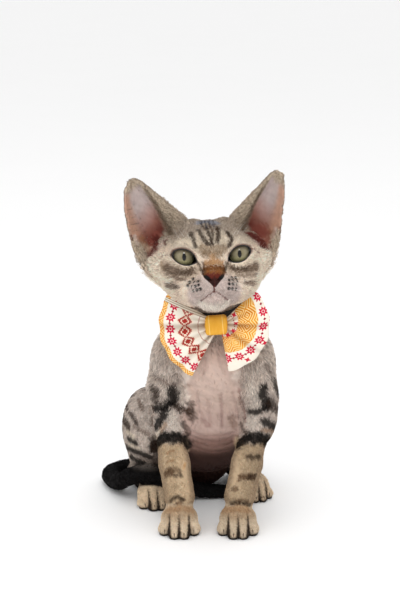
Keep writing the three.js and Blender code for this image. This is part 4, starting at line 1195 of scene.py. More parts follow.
        # Brown on the tops of the paws: painted shade.
        paint.lay((168, 136, 102), paw * ease(z, 8, 14) * ease(n[:, 2] + 0.3 * noise, -0.2, 0.6) * 0.6)
        thigh = ease(flesh.hindlegs[s](p), 3.0, 1.2)
        paint.lay((184, 168, 154), thigh * 0.5 * ease(z, 60, 20))
        bands = np.sin(z * 0.55 + 0.25 * y + 1.6 * wobble(p, 30, 31)) + 0.4 * noise
        seen = ease(n[:, 1], -0.3, 0.05)
        paint.lay((52, 43, 39), thigh * ease(bands, 0.3, 0.9) * ease(z, 14, 24) * 0.8 * seen)
        foot = ease(flesh.feet[s](p), 3.0, 1.0)
        paint.lay((228, 203, 172), foot)
        hock = thigh * (1 - foot) * ease(z, 16, 8)
        paint.lay((40, 33, 31), hock)
        for group, mask in ((FOREPAWS[s], paw), (HIND_PAWS[s], foot)):
            across, forward = group.own(p)
            # Between the toes: a brown painted shade near the knuckles and dark painted shade in the gaps.
            gap = np.min([np.abs(across - k * group.width) for k in (-1, 0, 1)], axis=0)
            half = 0.2 + 0.95 * ease(z, 12, 2)
            shade = ease(gap, half + 1.6, half - 0.4) * ease(forward, group.long - 17, group.long - 12)
            paint.lay((128, 96, 70), mask * shade * ease(z, 17, 12) * 0.5)
            between = ease(gap, half + 0.5, half - 0.1) * ease(forward, group.long - 16, group.long - 12)
            paint.lay((30, 21, 18), mask * between * ease(z, 16, 12) * 0.94)
            paint.lay((24, 19, 18), mask * ease(z, 2.8, 1.4))

    def paint_tail(self, paint: Paint, p: Array) -> None:
        """Lays the black of the tail and of what it shades."""
        x, y, z = p.T
        distance = self.flesh.tail(p)
        tail = ease(distance, 2.2, 0.9) * ease(y, 96, 74)
        reach = np.maximum(tail, ease(distance, 2.0, 0.8) * ease(x, -14, -26))
        paint.lay((20, 17, 16), np.maximum(reach * ease(z, 40, 26), 0))

    def paint_marks(self, paint: Paint, p: Array, n: Array, coarse: Array, fine: Array) -> None:
        """Lays the marks, the spots of the whiskers and painted shade along the folds of the bare skin."""
        warped = p + 0.3 * np.stack([wobble(p, 4, 11), wobble(p, 4, 12), wobble(p, 4, 13)], -1)
        facing = ease(-n[:, 1], -0.45, -0.05)
        speckle = ease(wobble(p * np.array([1.6, 1.6, 0.8]), 2.0, 81), 0.0, 0.7) * facing
        for mark, path in self.lines:
            share = 0.08 if mark.tone in self.solid else 0.34
            mask = self.covers(mark, path, warped, coarse, fine) * mark.strength
            paint.lay(mark.tone.value, mask * (facing - share * speckle))
        high = np.flatnonzero((p[:, 2] > HEAD_FROM) & (HEAD.into(p)[:, 1] < 6))
        spots = np.min([np.linalg.norm(p[high] - spot, axis=1) for spot in self.spots], axis=0)
        mask = np.zeros(len(p))
        mask[high] = ease(spots, 1.5, 0.8) * 0.95
        paint.lay(Tone.BLACK.value, mask)
        # Painted shade along the folds of the bare skin.
        for path in self.folds:
            at = in_box(p, path.min(0) - 3, path.max(0) + 3)
            mask = np.zeros(len(p))
            mask[at] = ease(line_distance(p[at], [path]), 2.0, 0.0) * 0.24
            paint.lay(Tone.FOLD.value, mask)

    def paint_head(self, paint: Paint, p: Array, noise: Array) -> None:
        """Lays the colours of the head, ears, lids and nose."""
        q = HEAD.into(p)
        slope = math.radians(20)
        above = (p - np.array([2, 0, 166.5])) @ np.array([0, -math.sin(slope), math.cos(slope)])
        x, y, z = q.T
        head = ease(above, -5, 5)
        paint.lay((250, 229, 209), head)
        paint.lay((212, 196, 176), head * ease(z, 0, 10))
        crown = ease(z + 0.25 * np.abs(x), 12, 20)
        paint.lay((170, 154, 140), head * crown * 0.7)
        paint.lay((160, 144, 130), head * ease(y, 22, 42) * 0.85)
        ticking = ease(wobble(p * np.array([1, 1, 1.6]), 2.2, 41) + 0.5 * noise, 0.1, 0.7)
        paint.lay((120, 102, 86), head * ticking * crown * 0.5)
        cheek = ease(np.abs(x), 16, 28) * ease(z, 4, -6)
        paint.lay((128, 110, 92), head * cheek * ticking * 0.18)
        muzzle = ellipsoid((0, -4, -24.5), (16, 14, 12))(q)
        paint.lay((209, 191, 183), head * ease(muzzle, 4, 0))
        for s in BOTH:
            rim = self.flesh.almond(p, s)
            near = ease(y, 14, 10)
            paint.lay((104, 68, 58), head * near * ease(rim, 1.8, 0.9) * ease(z, -3, 2) * 0.8)
            paint.lay((30, 20, 18), head * near * ease(rim, 0.6, 0.1))
            distance, _, up, cup = self.flesh.ears[s].places(p)
            ear = ease(distance, 2.4, 1.6) * ease(up, 0.06, 0.3)
            paint.lay((206, 188, 166), ear)
            paint.lay((112, 94, 78), ear * ticking * 0.55)
            behind = ear * (cup < 0)
            paint.lay((178, 160, 142), behind)
            paint.lay((112, 96, 84), behind * ease(up, 0.35, 0.8) * 0.5)
            # The dark red of the ear canal, deepened in the hollow as painted shade.
            (apart, *middle), radii = self.ear_hollow
            hollow = ellipsoid((s * apart, *middle), radii)(q)
            paint.lay((84, 38, 33), head * ease(hollow, 1.2, -0.6) * ease(y, 2, 8))
        bare, height, past = self.ear_lining(p)
        # Painted shade along the edge between the furry inner rim and the bare lining.
        edge = ease(np.abs(past + 0.02), 0.13, 0.02) * ease(height, 0.85, 0.6)
        paint.lay((94, 74, 58), (height > 0) * edge * 0.75)
        heights = [0.22, 0.32, 0.42, 0.52, 0.66]
        lining = ((72, 26, 21), (96, 46, 39), (132, 88, 77), (162, 131, 123), (176, 161, 157))
        channels = np.array([srgb(*shade) for shade in lining]).T
        paint.blend(np.stack([np.interp(height, heights, channel) for channel in channels], 1), bare)
        rim = past - 0.52 - 0.5 * height
        paint.lay((180, 140, 118), bare * ease(rim, -0.26, -0.06) * ease(height, 0.24, 0.34) * 0.85)
        leather = self.leather(q)
        paint.lay((88, 36, 27), head * leather)
        paint.lay((34, 18, 15), head * leather * ease(z, -10.2, -9.0) * 0.7)
        outer = np.abs(x) - np.interp(z, *self.leather_edge)
        paint.lay((34, 18, 15), head * leather * ease(outer, -3.0, -0.8) * 0.9)
        nostril = np.hypot((np.abs(x) - 4.6) * 0.75, z + 13.6 - 0.5 * (np.abs(x) - 4.6))
        paint.lay((20, 12, 11), head * leather * ease(nostril, 2.2, 1.3))
        paint.lay((46, 22, 18), head * leather * ease(z + 0.55 * np.abs(x), -11.6, -14.6))
        paint.lay((60, 28, 24), head * leather * ease(np.abs(x), 0.7, 0.2) * ease(z, -11.5, -13) * 0.8)

    def leather(self, q: Array) -> Array:
        """1 on the nose leather: wide at the top, narrow where it meets the lip."""
        x, y, z = q.T
        sides = ease(np.abs(x) - np.interp(z, *self.leather_edge), 0.5, -0.3)
        return sides * ease(z, -8.4, -9.2) * ease(z, -20.4, -19.2) * ease(y, -5, -8)

    def furry(self, p: Array, n: Array) -> Array:
        """How thickly the coat covers each place, from 0, bare, to 1."""
        q = HEAD.into(p)
        cover = np.ones(len(p))
        front = ease(-n[:, 1], 0.1, 0.65) * ease(np.abs(p[:, 0] - 2), 26, 16) * ease(p[:, 2], 136, 120)
        cover *= 1 - 0.93 * front * ease(p[:, 2], 20, 40)
        cover *= 1 - self.leather(q)
        cover *= ease(p[:, 2], 1.2, 3.0) * (1 - 0.96 * self.ear_lining(p)[0])
        for s in BOTH:
            cover *= np.where(q[:, 1] < 14, ease(self.flesh.almond(p, s), 0.5, 1.4), 1)
        even = np.zeros(len(p))
        for mark, path in self.lines:
            if mark.bare:
                cover *= 1 - self.covers(mark, path, p, even, even) * mark.bare * ease(-n[:, 1], -0.4, 0.0)
        return cover

    def lie(self, p: Array, n: Array) -> Array:
        """The way the coat lies: back from the nose on the head, down the body and the legs."""
        q = HEAD.into(p)
        away = unit(q - np.array([0, -16, -12]))  # from the nose
        face = (away * np.array([1, 0.9, 0.8])) @ HEAD.turn.T
        body = np.tile(np.array([0, 0.35, -1.0]), (len(p), 1))
        leg = ease(p[:, 2], 62, 40)[:, None]
        body = body * (1 - leg) + leg * np.array([0, -0.35, -0.9])
        tail = ease(self.flesh.tail(p), 2.5, 1.0)[:, None]
        path = curve_through(TAIL, 3)[:, :3]
        towards = np.gradient(path, axis=0)
        on_tail = np.flatnonzero(tail[:, 0] > 0)
        near = np.argmin(((p[on_tail, None, :] - path[None]) ** 2).sum(-1), axis=1)
        share = tail[on_tail]
        body[on_tail] = body[on_tail] * (1 - share) + share * towards[near]
        head = ease(p[:, 2], 160, 172)[:, None]
        way = body * (1 - head) + face * head
        for s in BOTH:
            on_ear = (self.flesh.ears[s].places(p)[0] < 2.6)[:, None]
            tip = HEAD.out(np.array([s * 51.0, 25.0, 50.0])) - p
            way = np.where(on_ear, tip, way)
        loose = (0.2 + 0.25 * ease(p[:, 2], 165, 150) * ease(p[:, 2], 40, 62))[:, None]
        way += loose * np.stack([wobble(p, 8, 51), wobble(p, 8, 52), wobble(p, 8, 53)], -1)
        return unit(way - dots(way, n)[:, None] * n)


def operator(operation: str, swapped: bool = False) -> Callable[["Socket", "Socket | float"], "Socket"]:
    """A method that adds a Math node, with the other value first if swapped."""

    def apply(this: "Socket", other: "Socket | float") -> "Socket":
        """Adds the node."""
        pair = (other, this) if swapped else (this, other)
        return this.shader.node("ShaderNodeMath", {"operation": operation}, *pair)

    return apply


class Socket:
    """An output of a node, with arithmetic that adds Math nodes."""

    def __init__(self, shader: "Shader", value: bpy.types.NodeSocket) -> None:
        """Wraps a node's output."""
        self.shader = shader
        self.value = value

    __add__, __radd__ = operator("ADD"), operator("ADD", swapped=True)
    __sub__, __rsub__ = operator("SUBTRACT"), operator("SUBTRACT", swapped=True)
    __mul__, __rmul__ = operator("MULTIPLY"), operator("MULTIPLY", swapped=True)
    __truediv__, __rtruediv__ = operator("DIVIDE"), operator("DIVIDE", swapped=True)
    __pow__ = operator("POWER")

    def math(self, operation: str, *others: "Socket | float") -> "Socket":
        """A Math node on this value and others."""
        return self.shader.node("ShaderNodeMath", {"operation": operation}, self, *others)

    def __abs__(self) -> "Socket":
        """The size without its sign."""
        return self.math("ABSOLUTE")

    def wave(self) -> "Socket":
        """A triangle wave from 0 to 1, once for each unit."""
        return self.math("PINGPONG", 0.5) * 2.0

    def part(self) -> "Socket":
        """What is left above the whole number."""
        return self.math("FRACT")

    def ease(self, low: float, high: float) -> "Socket":
        """0 at low, 1 at high and smooth between."""
        settings = {"interpolation_type": "SMOOTHSTEP"}
        if low > high:
            return 1.0 - self.shader.node("ShaderNodeMapRange", settings, self, high, low, 0.0, 1.0)
        return self.shader.node("ShaderNodeMapRange", settings, self, low, high, 0.0, 1.0)


class Shader:
    """A material being made."""

    def __init__(self, name: str, **constants: float | tuple) -> None:
        """Starts a material with numbers that are the same all over it."""
        self.material = bpy.data.materials.new(name)
        self.material.use_nodes = True
        self.tree = self.material.node_tree
        self.surface = self.tree.nodes["Principled BSDF"]
        for key, value in constants.items():
            self.input(key).default_value = value

    def input(self, key: str) -> bpy.types.NodeSocket:
        """The surface's input that a name in small letters stands for."""
        return self.surface.inputs[key.replace("_", " ").title().replace("Ior", "IOR")]

    def node(
        self, kind: str, settings: dict, *inputs: object, output: int | str = 0, **named: object
    ) -> Socket:
        """Adds any node.

        Args:
            kind: The node's type.
            settings: Its properties, set before its sockets.
            *inputs: Values or sockets for its inputs in order; None leaves one alone.
            output: Which output is wanted.
            **named: Values or sockets for inputs by name.

        Returns:
            The output wanted.
        """
        node = self.tree.nodes.new(kind)
        for key, value in settings.items():
            if key == "stops":
                self.stops(node, value)
            else:
                setattr(node, key, value)
        sockets = [s for s in node.inputs if s.enabled]
        for socket, value in list(zip(sockets, inputs)) + [(node.inputs[k], v) for k, v in named.items()]:
            self.put(socket, value)
        outputs = [s for s in node.outputs if s.enabled] if isinstance(output, int) else node.outputs
        return Socket(self, outputs[output])

    def put(self, socket: bpy.types.NodeSocket, value: object) -> None:
        """Sets or links one input."""
        if isinstance(value, Socket):
            self.tree.links.new(value.value, socket)
        elif value is not None:
            if hasattr(value, "__len__") and len(socket.default_value) == 4 and len(value) == 3:
                value = (*value, 1.0)
            socket.default_value = value

    @staticmethod
    def stops(node: bpy.types.Node, stops: Sequence[tuple[float, Sequence[float]]]) -> None:
        """Sets a ramp's stops."""
        ramp = node.color_ramp
        while len(ramp.elements) < len(stops):
            ramp.elements.new(1.0)
        for element, (place, colour) in zip(ramp.elements, stops):
            element.position = place
            element.color = (*colour[:3], 1.0)

    def mix(self, factor: Socket | float, a: object, b: object, blend: str = "MIX") -> Socket:
        """A colour mix."""
        node = self.tree.nodes.new("ShaderNodeMix")
        node.data_type = "RGBA"
        node.blend_type = blend
        for socket, value in ((node.inputs[0], factor), (node.inputs[6], a), (node.inputs[7], b)):
            self.put(socket, value)
        return Socket(self, node.outputs[2])

    def attribute(self, name: str, output: str = "Fac") -> Socket:
        """An attribute of the mesh."""
        return self.node("ShaderNodeAttribute", {"attribute_name": name}, output=output)

    def coordinates(self, output: str = "Object") -> Socket:
        """The object's own coordinates or its UV map."""
        return self.node("ShaderNodeTexCoord", {}, output=output)

    def noise(self, vector: Socket, scale: float, detail: float = 3.0, roughness: float = 0.55) -> Socket:
        """A noise from 0 to 1."""
        values = {"Vector": vector, "Scale": scale, "Detail": detail, "Roughness": roughness}
        return self.node("ShaderNodeTexNoise", {}, **values)

    def stretched(self, vector: Socket, scale: Sequence[float]) -> Socket:
        """Coordinates stretched by a factor on each axis."""
        return self.node("ShaderNodeVectorMath", {"operation": "MULTIPLY"}, vector, tuple(scale))

    def dot(self, vector: Socket, other: Sequence[float]) -> Socket:
        """How far a vector goes along another."""
        settings = {"operation": "DOT_PRODUCT"}
        return self.node("ShaderNodeVectorMath", settings, vector, tuple(other), output="Value")

    def bump(self, height: Socket, distance: float, strength: float | Socket = 1.0) -> None:
        """Feeds a bump to the surface's normal."""
        made = self.node("ShaderNodeBump", {}, Strength=strength, Distance=distance, Height=height)
        self.put(self.surface.inputs["Normal"], made)

    def feed(self, **inputs: Socket) -> bpy.types.Material:
        """Links the surface's inputs and gives the finished material."""
        for key, value in inputs.items():
            self.put(self.input(key), value)
        return self.material


@dataclass(frozen=True)
class SkinFinish:
    """The skin under the coat: painted by the pattern, with a grain of short flat hair."""

    hair_grain: float = 0.00025
    fold_depth: float = 0.0006

    def make(self) -> bpy.types.Material:
        """Makes the material."""
        s = Shader(
            "skin", roughness=0.7, subsurface_weight=0.05, subsurface_scale=0.002, specular_ior_level=0.12
        )
        base = s.attribute("coat_colour", "Color")
        furry = s.attribute("furry")
        where = s.coordinates()
        hair = s.noise(s.stretched(where, (1.0, 1.0, 0.35)), 1500, 2.0)
        coarse = s.noise(where, 260, 3.0)
        tint = s.mix(furry * 0.5, base, s.mix(hair, base, (0.0, 0.0, 0.0)))
        tint = s.mix((coarse - 0.5) * 0.3, tint, s.mix(1.0, tint, (0.75, 0.68, 0.66), "MULTIPLY"))
        pores = s.noise(where, 900, 2.0)
        wet = s.attribute("leather")
        height = hair * furry + pores * 0.35 - s.attribute("fold") * (self.fold_depth / self.hair_grain)
        s.bump(height, self.hair_grain, 0.8)
        rough = 0.74 - wet * 0.36 + (coarse - 0.5) * 0.1
        return s.feed(base_color=tint, roughness=rough)


@dataclass(frozen=True)
class TuftFinish:
    """The hair of the tufts: the pattern's colour with a soft sheen."""

    roughness: float = 0.62

    def make(self) -> bpy.types.Material:
        """Makes the material."""
        s = Shader("coat_hair", roughness=self.roughness, specular_ior_level=0.06)
        base = s.attribute("coat_colour", "Color")
        streak = s.noise(s.stretched(s.coordinates(), (1.0, 1.0, 0.5)), 2600, 1.0)
        return s.feed(base_color=s.mix((streak - 0.35) * 0.35, base, (0.02, 0.015, 0.012)))


@dataclass(frozen=True)
class PlainFinish:
    """A finish of one colour with a fine grain, for lid rims, thin hairs, claws and the strap."""

    name: str
    colour: tuple[float, float, float]
    roughness: float
    grain: float = 0.00005
    grain_scale: float = 1800.0
    variation: float = 0.25
    coat: float = 0.0

    def make(self) -> bpy.types.Material:
        """Makes the material."""
        s = Shader(self.name, roughness=self.roughness, coat_weight=self.coat, coat_roughness=0.08)
        where = s.coordinates()
        grain = s.noise(where, self.grain_scale, 2.0)
        s.bump(grain, self.grain, 0.6)
        base = tuple(srgb(*self.colour))
        dark = tuple(c * (1 - self.variation) for c in base)
        rough = self.roughness + (grain - 0.5) * 0.12
        return s.feed(base_color=s.mix(s.noise(where, self.grain_scale / 6), dark, base), roughness=rough)


@dataclass(frozen=True)
class EyeFinish:
    """A wet kitten's eye: dark upright pupil, grey-green iris with fine rays and a dark outer ring."""

    centre: tuple[float, float, float]
    across: tuple[float, float, float]
    upward: tuple[float, float, float]
    forward: tuple[float, float, float]
    iris: float = 6.9
    pupil: tuple[float, float] = (1.25, 2.5)

    def make(self, name: str) -> bpy.types.Material:
        """Makes the material."""
        s = Shader(name, roughness=0.12, coat_weight=0.38, coat_roughness=0.02, specular_ior_level=0.15)
        middle = tuple(c * MM for c in self.centre)
        from_centre = s.node("ShaderNodeVectorMath", {"operation": "SUBTRACT"}, s.coordinates(), middle)
        ways = (self.across, self.upward, self.forward)
        a, b, ahead = (s.dot(from_centre, [c / MM for c in way]) for way in ways)
        radius = (a * a + b * b) ** 0.5
        turn = b.math("ARCTAN2", a)
        rays_at = s.node("ShaderNodeCombineXYZ", {}, turn * 9.0, radius * 0.35, 0.0)
        rays = s.noise(rays_at, 2.2, 4.0, 0.65)
        stops = [
            (0.0, srgb(96, 86, 62)), (0.24, srgb(114, 103, 76)), (0.55, srgb(130, 120, 96)),
            (0.82, srgb(106, 98, 76)), (0.93, srgb(52, 46, 36)), (1.0, srgb(26, 20, 18)),
        ]
        iris = s.node("ShaderNodeValToRGB", {"stops": stops}, radius / self.iris)
        iris = s.mix((rays - 0.42) * 0.8, iris, srgb(176, 172, 138))
        # Lighter towards the bottom of the iris; darker at the top, as painted shadow of the upper lid.
        lower = s.mix((b * -1.0).ease(0.6, 4.6) * 0.55, iris, srgb(182, 177, 126))
        shade = s.mix(b.ease(1.4, 4.8) * 0.7, lower, srgb(70, 56, 44))
        slit = ((a / self.pupil[0]) ** 2.0 + (b / self.pupil[1]) ** 2.0) ** 0.5
        dark = s.mix(slit.ease(1.25, 0.85), shade, srgb(6, 6, 7))
        white = s.mix(radius.ease(self.iris - 0.3, self.iris + 0.2), dark, srgb(30, 20, 18))
        back = s.mix(ahead.ease(3.0, 0.0), white, srgb(120, 90, 84))
        return s.feed(base_color=back)


def smart_unwrap(piece: bpy.types.Object) -> None:
    """Gives a piece an unwrap of its own surface, named OFBake."""
    piece.data.uv_layers.new(name="OFBake")
    bpy.ops.object.select_all(action="DESELECT")
    piece.select_set(True)
    bpy.context.view_layer.objects.active = piece
    bpy.ops.object.mode_set(mode="EDIT")
    bpy.ops.mesh.select_all(action="SELECT")
    bpy.ops.uv.smart_project(angle_limit=math.radians(66), island_margin=0.001)
    bpy.ops.object.mode_set(mode="OBJECT")


def put_map(mesh: bpy.types.Mesh, name: str, places: Array) -> None:
    """Gives a mesh a UV map from one place for each of its points."""
    layer = mesh.uv_layers.new(name=name)
    index = np.empty(len(mesh.loops), np.int32)
    mesh.loops.foreach_get("vertex_index", index)
    layer.uv.foreach_set("vector", places[index].astype(np.float32).ravel())


def put_values(mesh: bpy.types.Mesh, name: str, values: Array) -> None:
    """Stores a number or a colour for each point of a mesh."""
    if values.ndim == 1:
        layer = mesh.attributes.new(name, "FLOAT", "POINT")
        layer.data.foreach_set("value", values.astype(np.float32))
    else:
        layer = mesh.attributes.new(name, "FLOAT_COLOR", "POINT")
        full = np.ones((len(values), 4), np.float32)
        full[:, :3] = values
        layer.data.foreach_set("color", full.ravel())


@dataclass
class Tufts:
    """Tufts of hair, one a row: where each grows, how it lies, and its colours."""

    root: Array
    normal: Array
    way: Array
    side: Array
    long: Array
    thick: Array
    lift: Array  # how far it stands out
    curl: Array
    colour: Array  # at its root, middle and tip
    uv: Array  # of its root, on the skin's unwrap

    map_margin = 0.004
    map_patch = 0.0015  # the radius of a tuft's own patch of the map
    faces = np.array(
        [
            (0, 1, 4), (0, 4, 3), (1, 2, 5), (1, 5, 4), (2, 0, 3), (2, 3, 5),
            (3, 4, 6), (4, 5, 6), (5, 3, 6), (0, 2, 1),
        ]
    )

    def chosen(self, at: Array) -> "Tufts":
        """Some of them."""
        return Tufts(*(getattr(self, item.name)[at] for item in fields(self)))

    def points(self) -> Array:
        """Seven points for each: a ring of three at the root, one half way and the tip."""
        root, n, way, side = self.root, self.normal, self.way, self.side
        long, thick = self.long[:, None], self.thick[:, None]
        lift, curl = (self.long * self.lift)[:, None], (self.long * self.curl)[:, None]
        rings = []
        for t, width, sunk in ((0.0, 0.8, 0.15), (0.5, 1.0, 0.0)):
            out = lift * t * (1.5 - t) - sunk
            middle = root + way * (long * t) + n * out + side * (curl * math.sin(math.pi * t))
            for across, up in ((-1.0, -0.3), (1.0, -0.3), (0.0, 0.75)):
                rings.append(middle + side * (thick * width * across) + n * (thick * width * up))
        tip = root + way * long + n * (lift * 0.45) - side * (curl * 0.5)
        return np.stack(rings + [tip], 1)

    def make(self, name: str, material: bpy.types.Material) -> None:
        """Makes one piece of the coat."""
        points = self.points()
        count, each = points.shape[:2]
        faces = (self.faces[None] + each * np.arange(count)[:, None, None]).reshape(-1, 3)
        mesh = make_mesh(name, points.reshape(-1, 3), faces)
        colour = self.colour[:, [0, 0, 0, 1, 1, 1, 2]].reshape(-1, 3)
        put_values(mesh, "coat_colour", np.clip(colour, 0, 1))
        low, high = self.uv.min(0), self.uv.max(0)
        within = (self.uv - low) / np.maximum(high - low, 1e-6)
        spread = within * (1 - 2 * self.map_margin) + self.map_margin
        turns = np.arange(each) * 2 * math.pi / each
        patch = self.map_patch * np.stack([np.cos(turns), np.sin(turns)], -1)
        put_map(mesh, "OFBake", (spread[:, None] + patch[None]).reshape(-1, 2))
        piece = add_object(name, mesh, material)


@dataclass
class Body:
    """The skin and the coat of the kitten."""

    flesh: Flesh
    pattern: CoatPattern
    grid: float = 1.45
    low: tuple[float, float, float] = (-84, -68, -7)  # the corners of the box that the skin is read in
    high: tuple[float, float, float] = (62, 102, 252)
    tufts: int = 90000
    tufts_a_piece: int = 17000  # at most, for a piece under 200,000 triangles
    floors: tuple[float, float, float] = (168, 112, 62)  # where the head, shoulders and flanks begin
    forelegs_before: float = 6  # of y, under the flanks
    seed: int = 7

    def fine_places(self, points: Array) -> Array:
        """Which points are on the lids or the mouth."""
        q = HEAD.into(points)
        lids = np.zeros(len(q), bool)
        for s in BOTH:
            lids |= (np.abs(self.flesh.almond(points, s)) < 2.4) & (q[:, 1] < 12)
        return lids | (q[:, 1] < -4) & (np.abs(q[:, 0]) < 14) & (q[:, 2] > -30) & (q[:, 2] < -7)

    def skin(self) -> Surface:
        """The one skin of the whole kitten, fine on the face, flat where it stands."""
        shape = self.flesh.skin
        surface = read_surface(shape, np.array(self.low, float), np.array(self.high, float), self.grid)
        surface.relax(0.5)
        surface.settle(shape, 2)
        q = HEAD.into(surface.points)
        surface.refine((q[:, 1] < 12) & (np.abs(q[:, 0]) < 32) & (q[:, 2] > -40) & (q[:, 2] < 16))
        surface.relax(0.3)
        surface.settle(shape, 2)
        surface.refine(self.fine_places(surface.points))
        surface.relax(0.3)
        surface.settle(shape, 3)
        surface.points[:, 2] = np.maximum(surface.points[:, 2], 0.0)
        return surface

    def make(self) -> None:
        """Builds the skin, then the tufts over it."""
        surface = self.skin()
        LOG.info("skin read: %d triangles", len(surface.faces))
        normals = surface.normals()
        skin = add_object("skin", surface.mesh("skin"), SkinFinish().make())
        cover = self.pattern.furry(surface.points, normals)
        folds = ease(line_distance(surface.points, self.pattern.folds), 1.6, 0.0)
        put_values(skin.data, "coat_colour", self.pattern.colour(surface.points, normals))
        put_values(skin.data, "furry", cover)
        put_values(skin.data, "leather", self.pattern.leather(HEAD.into(surface.points)))
        put_values(skin.data, "fold", folds)
        smart_unwrap(skin)
        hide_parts(*FLESH_NODES)
        self.make_coat(self.grown(skin, surface, normals, cover))

    def spread(self, rng: np.random.Generator, surface: Surface, cover: Array) -> tuple[Array, Array]:
        """Spreads the roots by area and cover, more thickly on the face and the lower legs.

        Args:
            rng: Where chance comes from.
            surface: The skin.
            cover: How thick the coat is at each of its points.

        Returns:
            The triangle that each root is in, and the share that each of its corners has in the root.
        """
        tri = surface.points[surface.faces]
        area = np.linalg.norm(np.cross(tri[:, 1] - tri[:, 0], tri[:, 2] - tri[:, 0]), axis=1)
        q = HEAD.into(tri.mean(1))
        head = (tri[:, 0, 2] > 166) * 1.0
        low_legs = ease(tri[:, 0, 2], 66, 50) * ease(tri[:, 0, 1], 20, 10)
        thickly = 1 + 2.2 * head * ease(q[:, 1], 30, 10) + 0.8 * low_legs
        weight = area * cover[surface.faces].mean(1) * thickly
        weight[tri[:, :, 2].max(1) < 1.5] = 0
        chosen = np.sort(rng.choice(len(weight), self.tufts, p=weight / weight.sum()))
        a, b = rng.random(self.tufts), rng.random(self.tufts)
        fold = a + b > 1
        a[fold], b[fold] = 1 - a[fold], 1 - b[fold]
        return chosen, np.stack([1 - a - b, a, b], -1)

    def grown(self, skin: bpy.types.Object, surface: Surface, normals: Array, cover: Array) -> Tufts:
        """Grows the tufts, each lying the way the coat does.

        Args:
            skin: The skin's object, with its unwrap.
            surface: The same skin.
            normals: The normal at each of its points.
            cover: How thick the coat is at each of its points.

        Returns:
            The tufts.
        """
        rng = np.random.default_rng(self.seed)
        chosen, share = self.spread(rng, surface, cover)
        corner = surface.faces[chosen]
        root = np.einsum("ij,ijk->ik", share, surface.points[corner])
        n = unit(np.einsum("ij,ijk->ik", share, normals[corner]))
        flat = np.empty(len(skin.data.loops) * 2, np.float32)
        skin.data.uv_layers["OFBake"].uv.foreach_get("vector", flat)
        uv = np.einsum("ij,ijk->ik", share, flat.reshape(-1, 3, 2)[chosen])
        bare = 1 - dots(share, cover[corner])
        way = self.pattern.lie(root, n)
        x, y, z = root.T
        q = HEAD.into(root)
        face = ease(q[:, 2], -42, -34) * ease(q[:, 1], 26, 4)
        head = ease(z, 164, 174)
        legs = ease(z, 66, 52) * ease(y, 16, 8)
        paws = ease(z, 24, 12)
        ears = np.zeros(self.tufts)
        for s in BOTH:
            ears = np.maximum(ears, self.flesh.ears[s].places(root)[0] < 3)
        long = 3.0 - 0.6 * head - 0.8 * np.maximum(face, ears) * head - 1.0 * legs - 0.5 * paws
        shaggy = ease(np.abs(x - 2), 17, 22) * ease(z, 80, 86) * ease(z, 142, 132) * ease(y, 24, 12)
        crown = ease(q[:, 2], 15, 22) * ease(np.abs(q[:, 0]), 34, 26) * head
        ruff = ease(np.abs(q[:, 0]), 19, 26) * ease(q[:, 2], 4, -6) * head
        long += 1.9 * shaggy + 0.8 * crown + 2.8 * ruff
        long *= rng.uniform(0.75, 1.25, self.tufts)
        thick = (0.25 - 0.09 * face - 0.05 * legs) * (1 - 0.45 * bare)
        lift = rng.uniform(0.14, 0.34, self.tufts) + 0.3 * shaggy + 0.35 * crown + 0.55 * ruff
        curl = rng.uniform(-0.32, 0.32, self.tufts)
        loose = np.maximum(face, legs)
        clump = 1 + (0.14 - 0.08 * loose) * wobble(root, 7, 61)
        clump *= 1 + 0.11 * wobble(root * np.array([1.5, 1.5, 0.4]), 2.4, 62)
        clump *= 1 + (0.13 - 0.05 * loose) * rng.uniform(-1, 1, self.tufts)
        clump *= 1 + 0.14 * ruff
        pale = (rng.random(self.tufts) < 0.07) * (1 - head) * ease(z, 30, 60)
        shades = []
        # Each tuft is painted darker at its root and lighter at its tip: painted shade near the skin and a
        # painted highlight at the tip.
        for up, light in ((0.0, 0.78), (0.45, 1.0), (0.95, 1.15)):
            light = 1 + (light - 1) * (1 - 0.3 * loose)
            light = light + bare * (1.12 - light)
            painted = self.pattern.colour(root + way * (long * up)[:, None], n) * (clump * light)[:, None]
            bright = ease(painted.mean(1), 0.05, 0.16)
            shades.append(painted + (0.35 * pale * up * bright)[:, None] * (Tone.PALE.linear() - painted))
        return Tufts(root, n, way, np.cross(n, way), long, thick, lift, curl, np.stack(shades, 1), uv)

    def make_coat(self, tufts: Tufts) -> None:
        """Parts the tufts into pieces by where they grow."""
        material = TuftFinish().make()
        _, y, z = tufts.root.T
        over = [z > floor for floor in self.floors]
        label = np.select([*over, y < self.forelegs_before], [0, 1, 2, 3], 4)
        for k, name in enumerate(("head", "shoulders", "flanks", "forelegs", "hindquarters")):
            group = np.flatnonzero(label == k)
            parts = np.array_split(group, max(1, math.ceil(len(group) / self.tufts_a_piece)))
            for number, at in enumerate(parts, 1):
                tufts.chosen(at).make(f"fur_{name}_{number}", material)


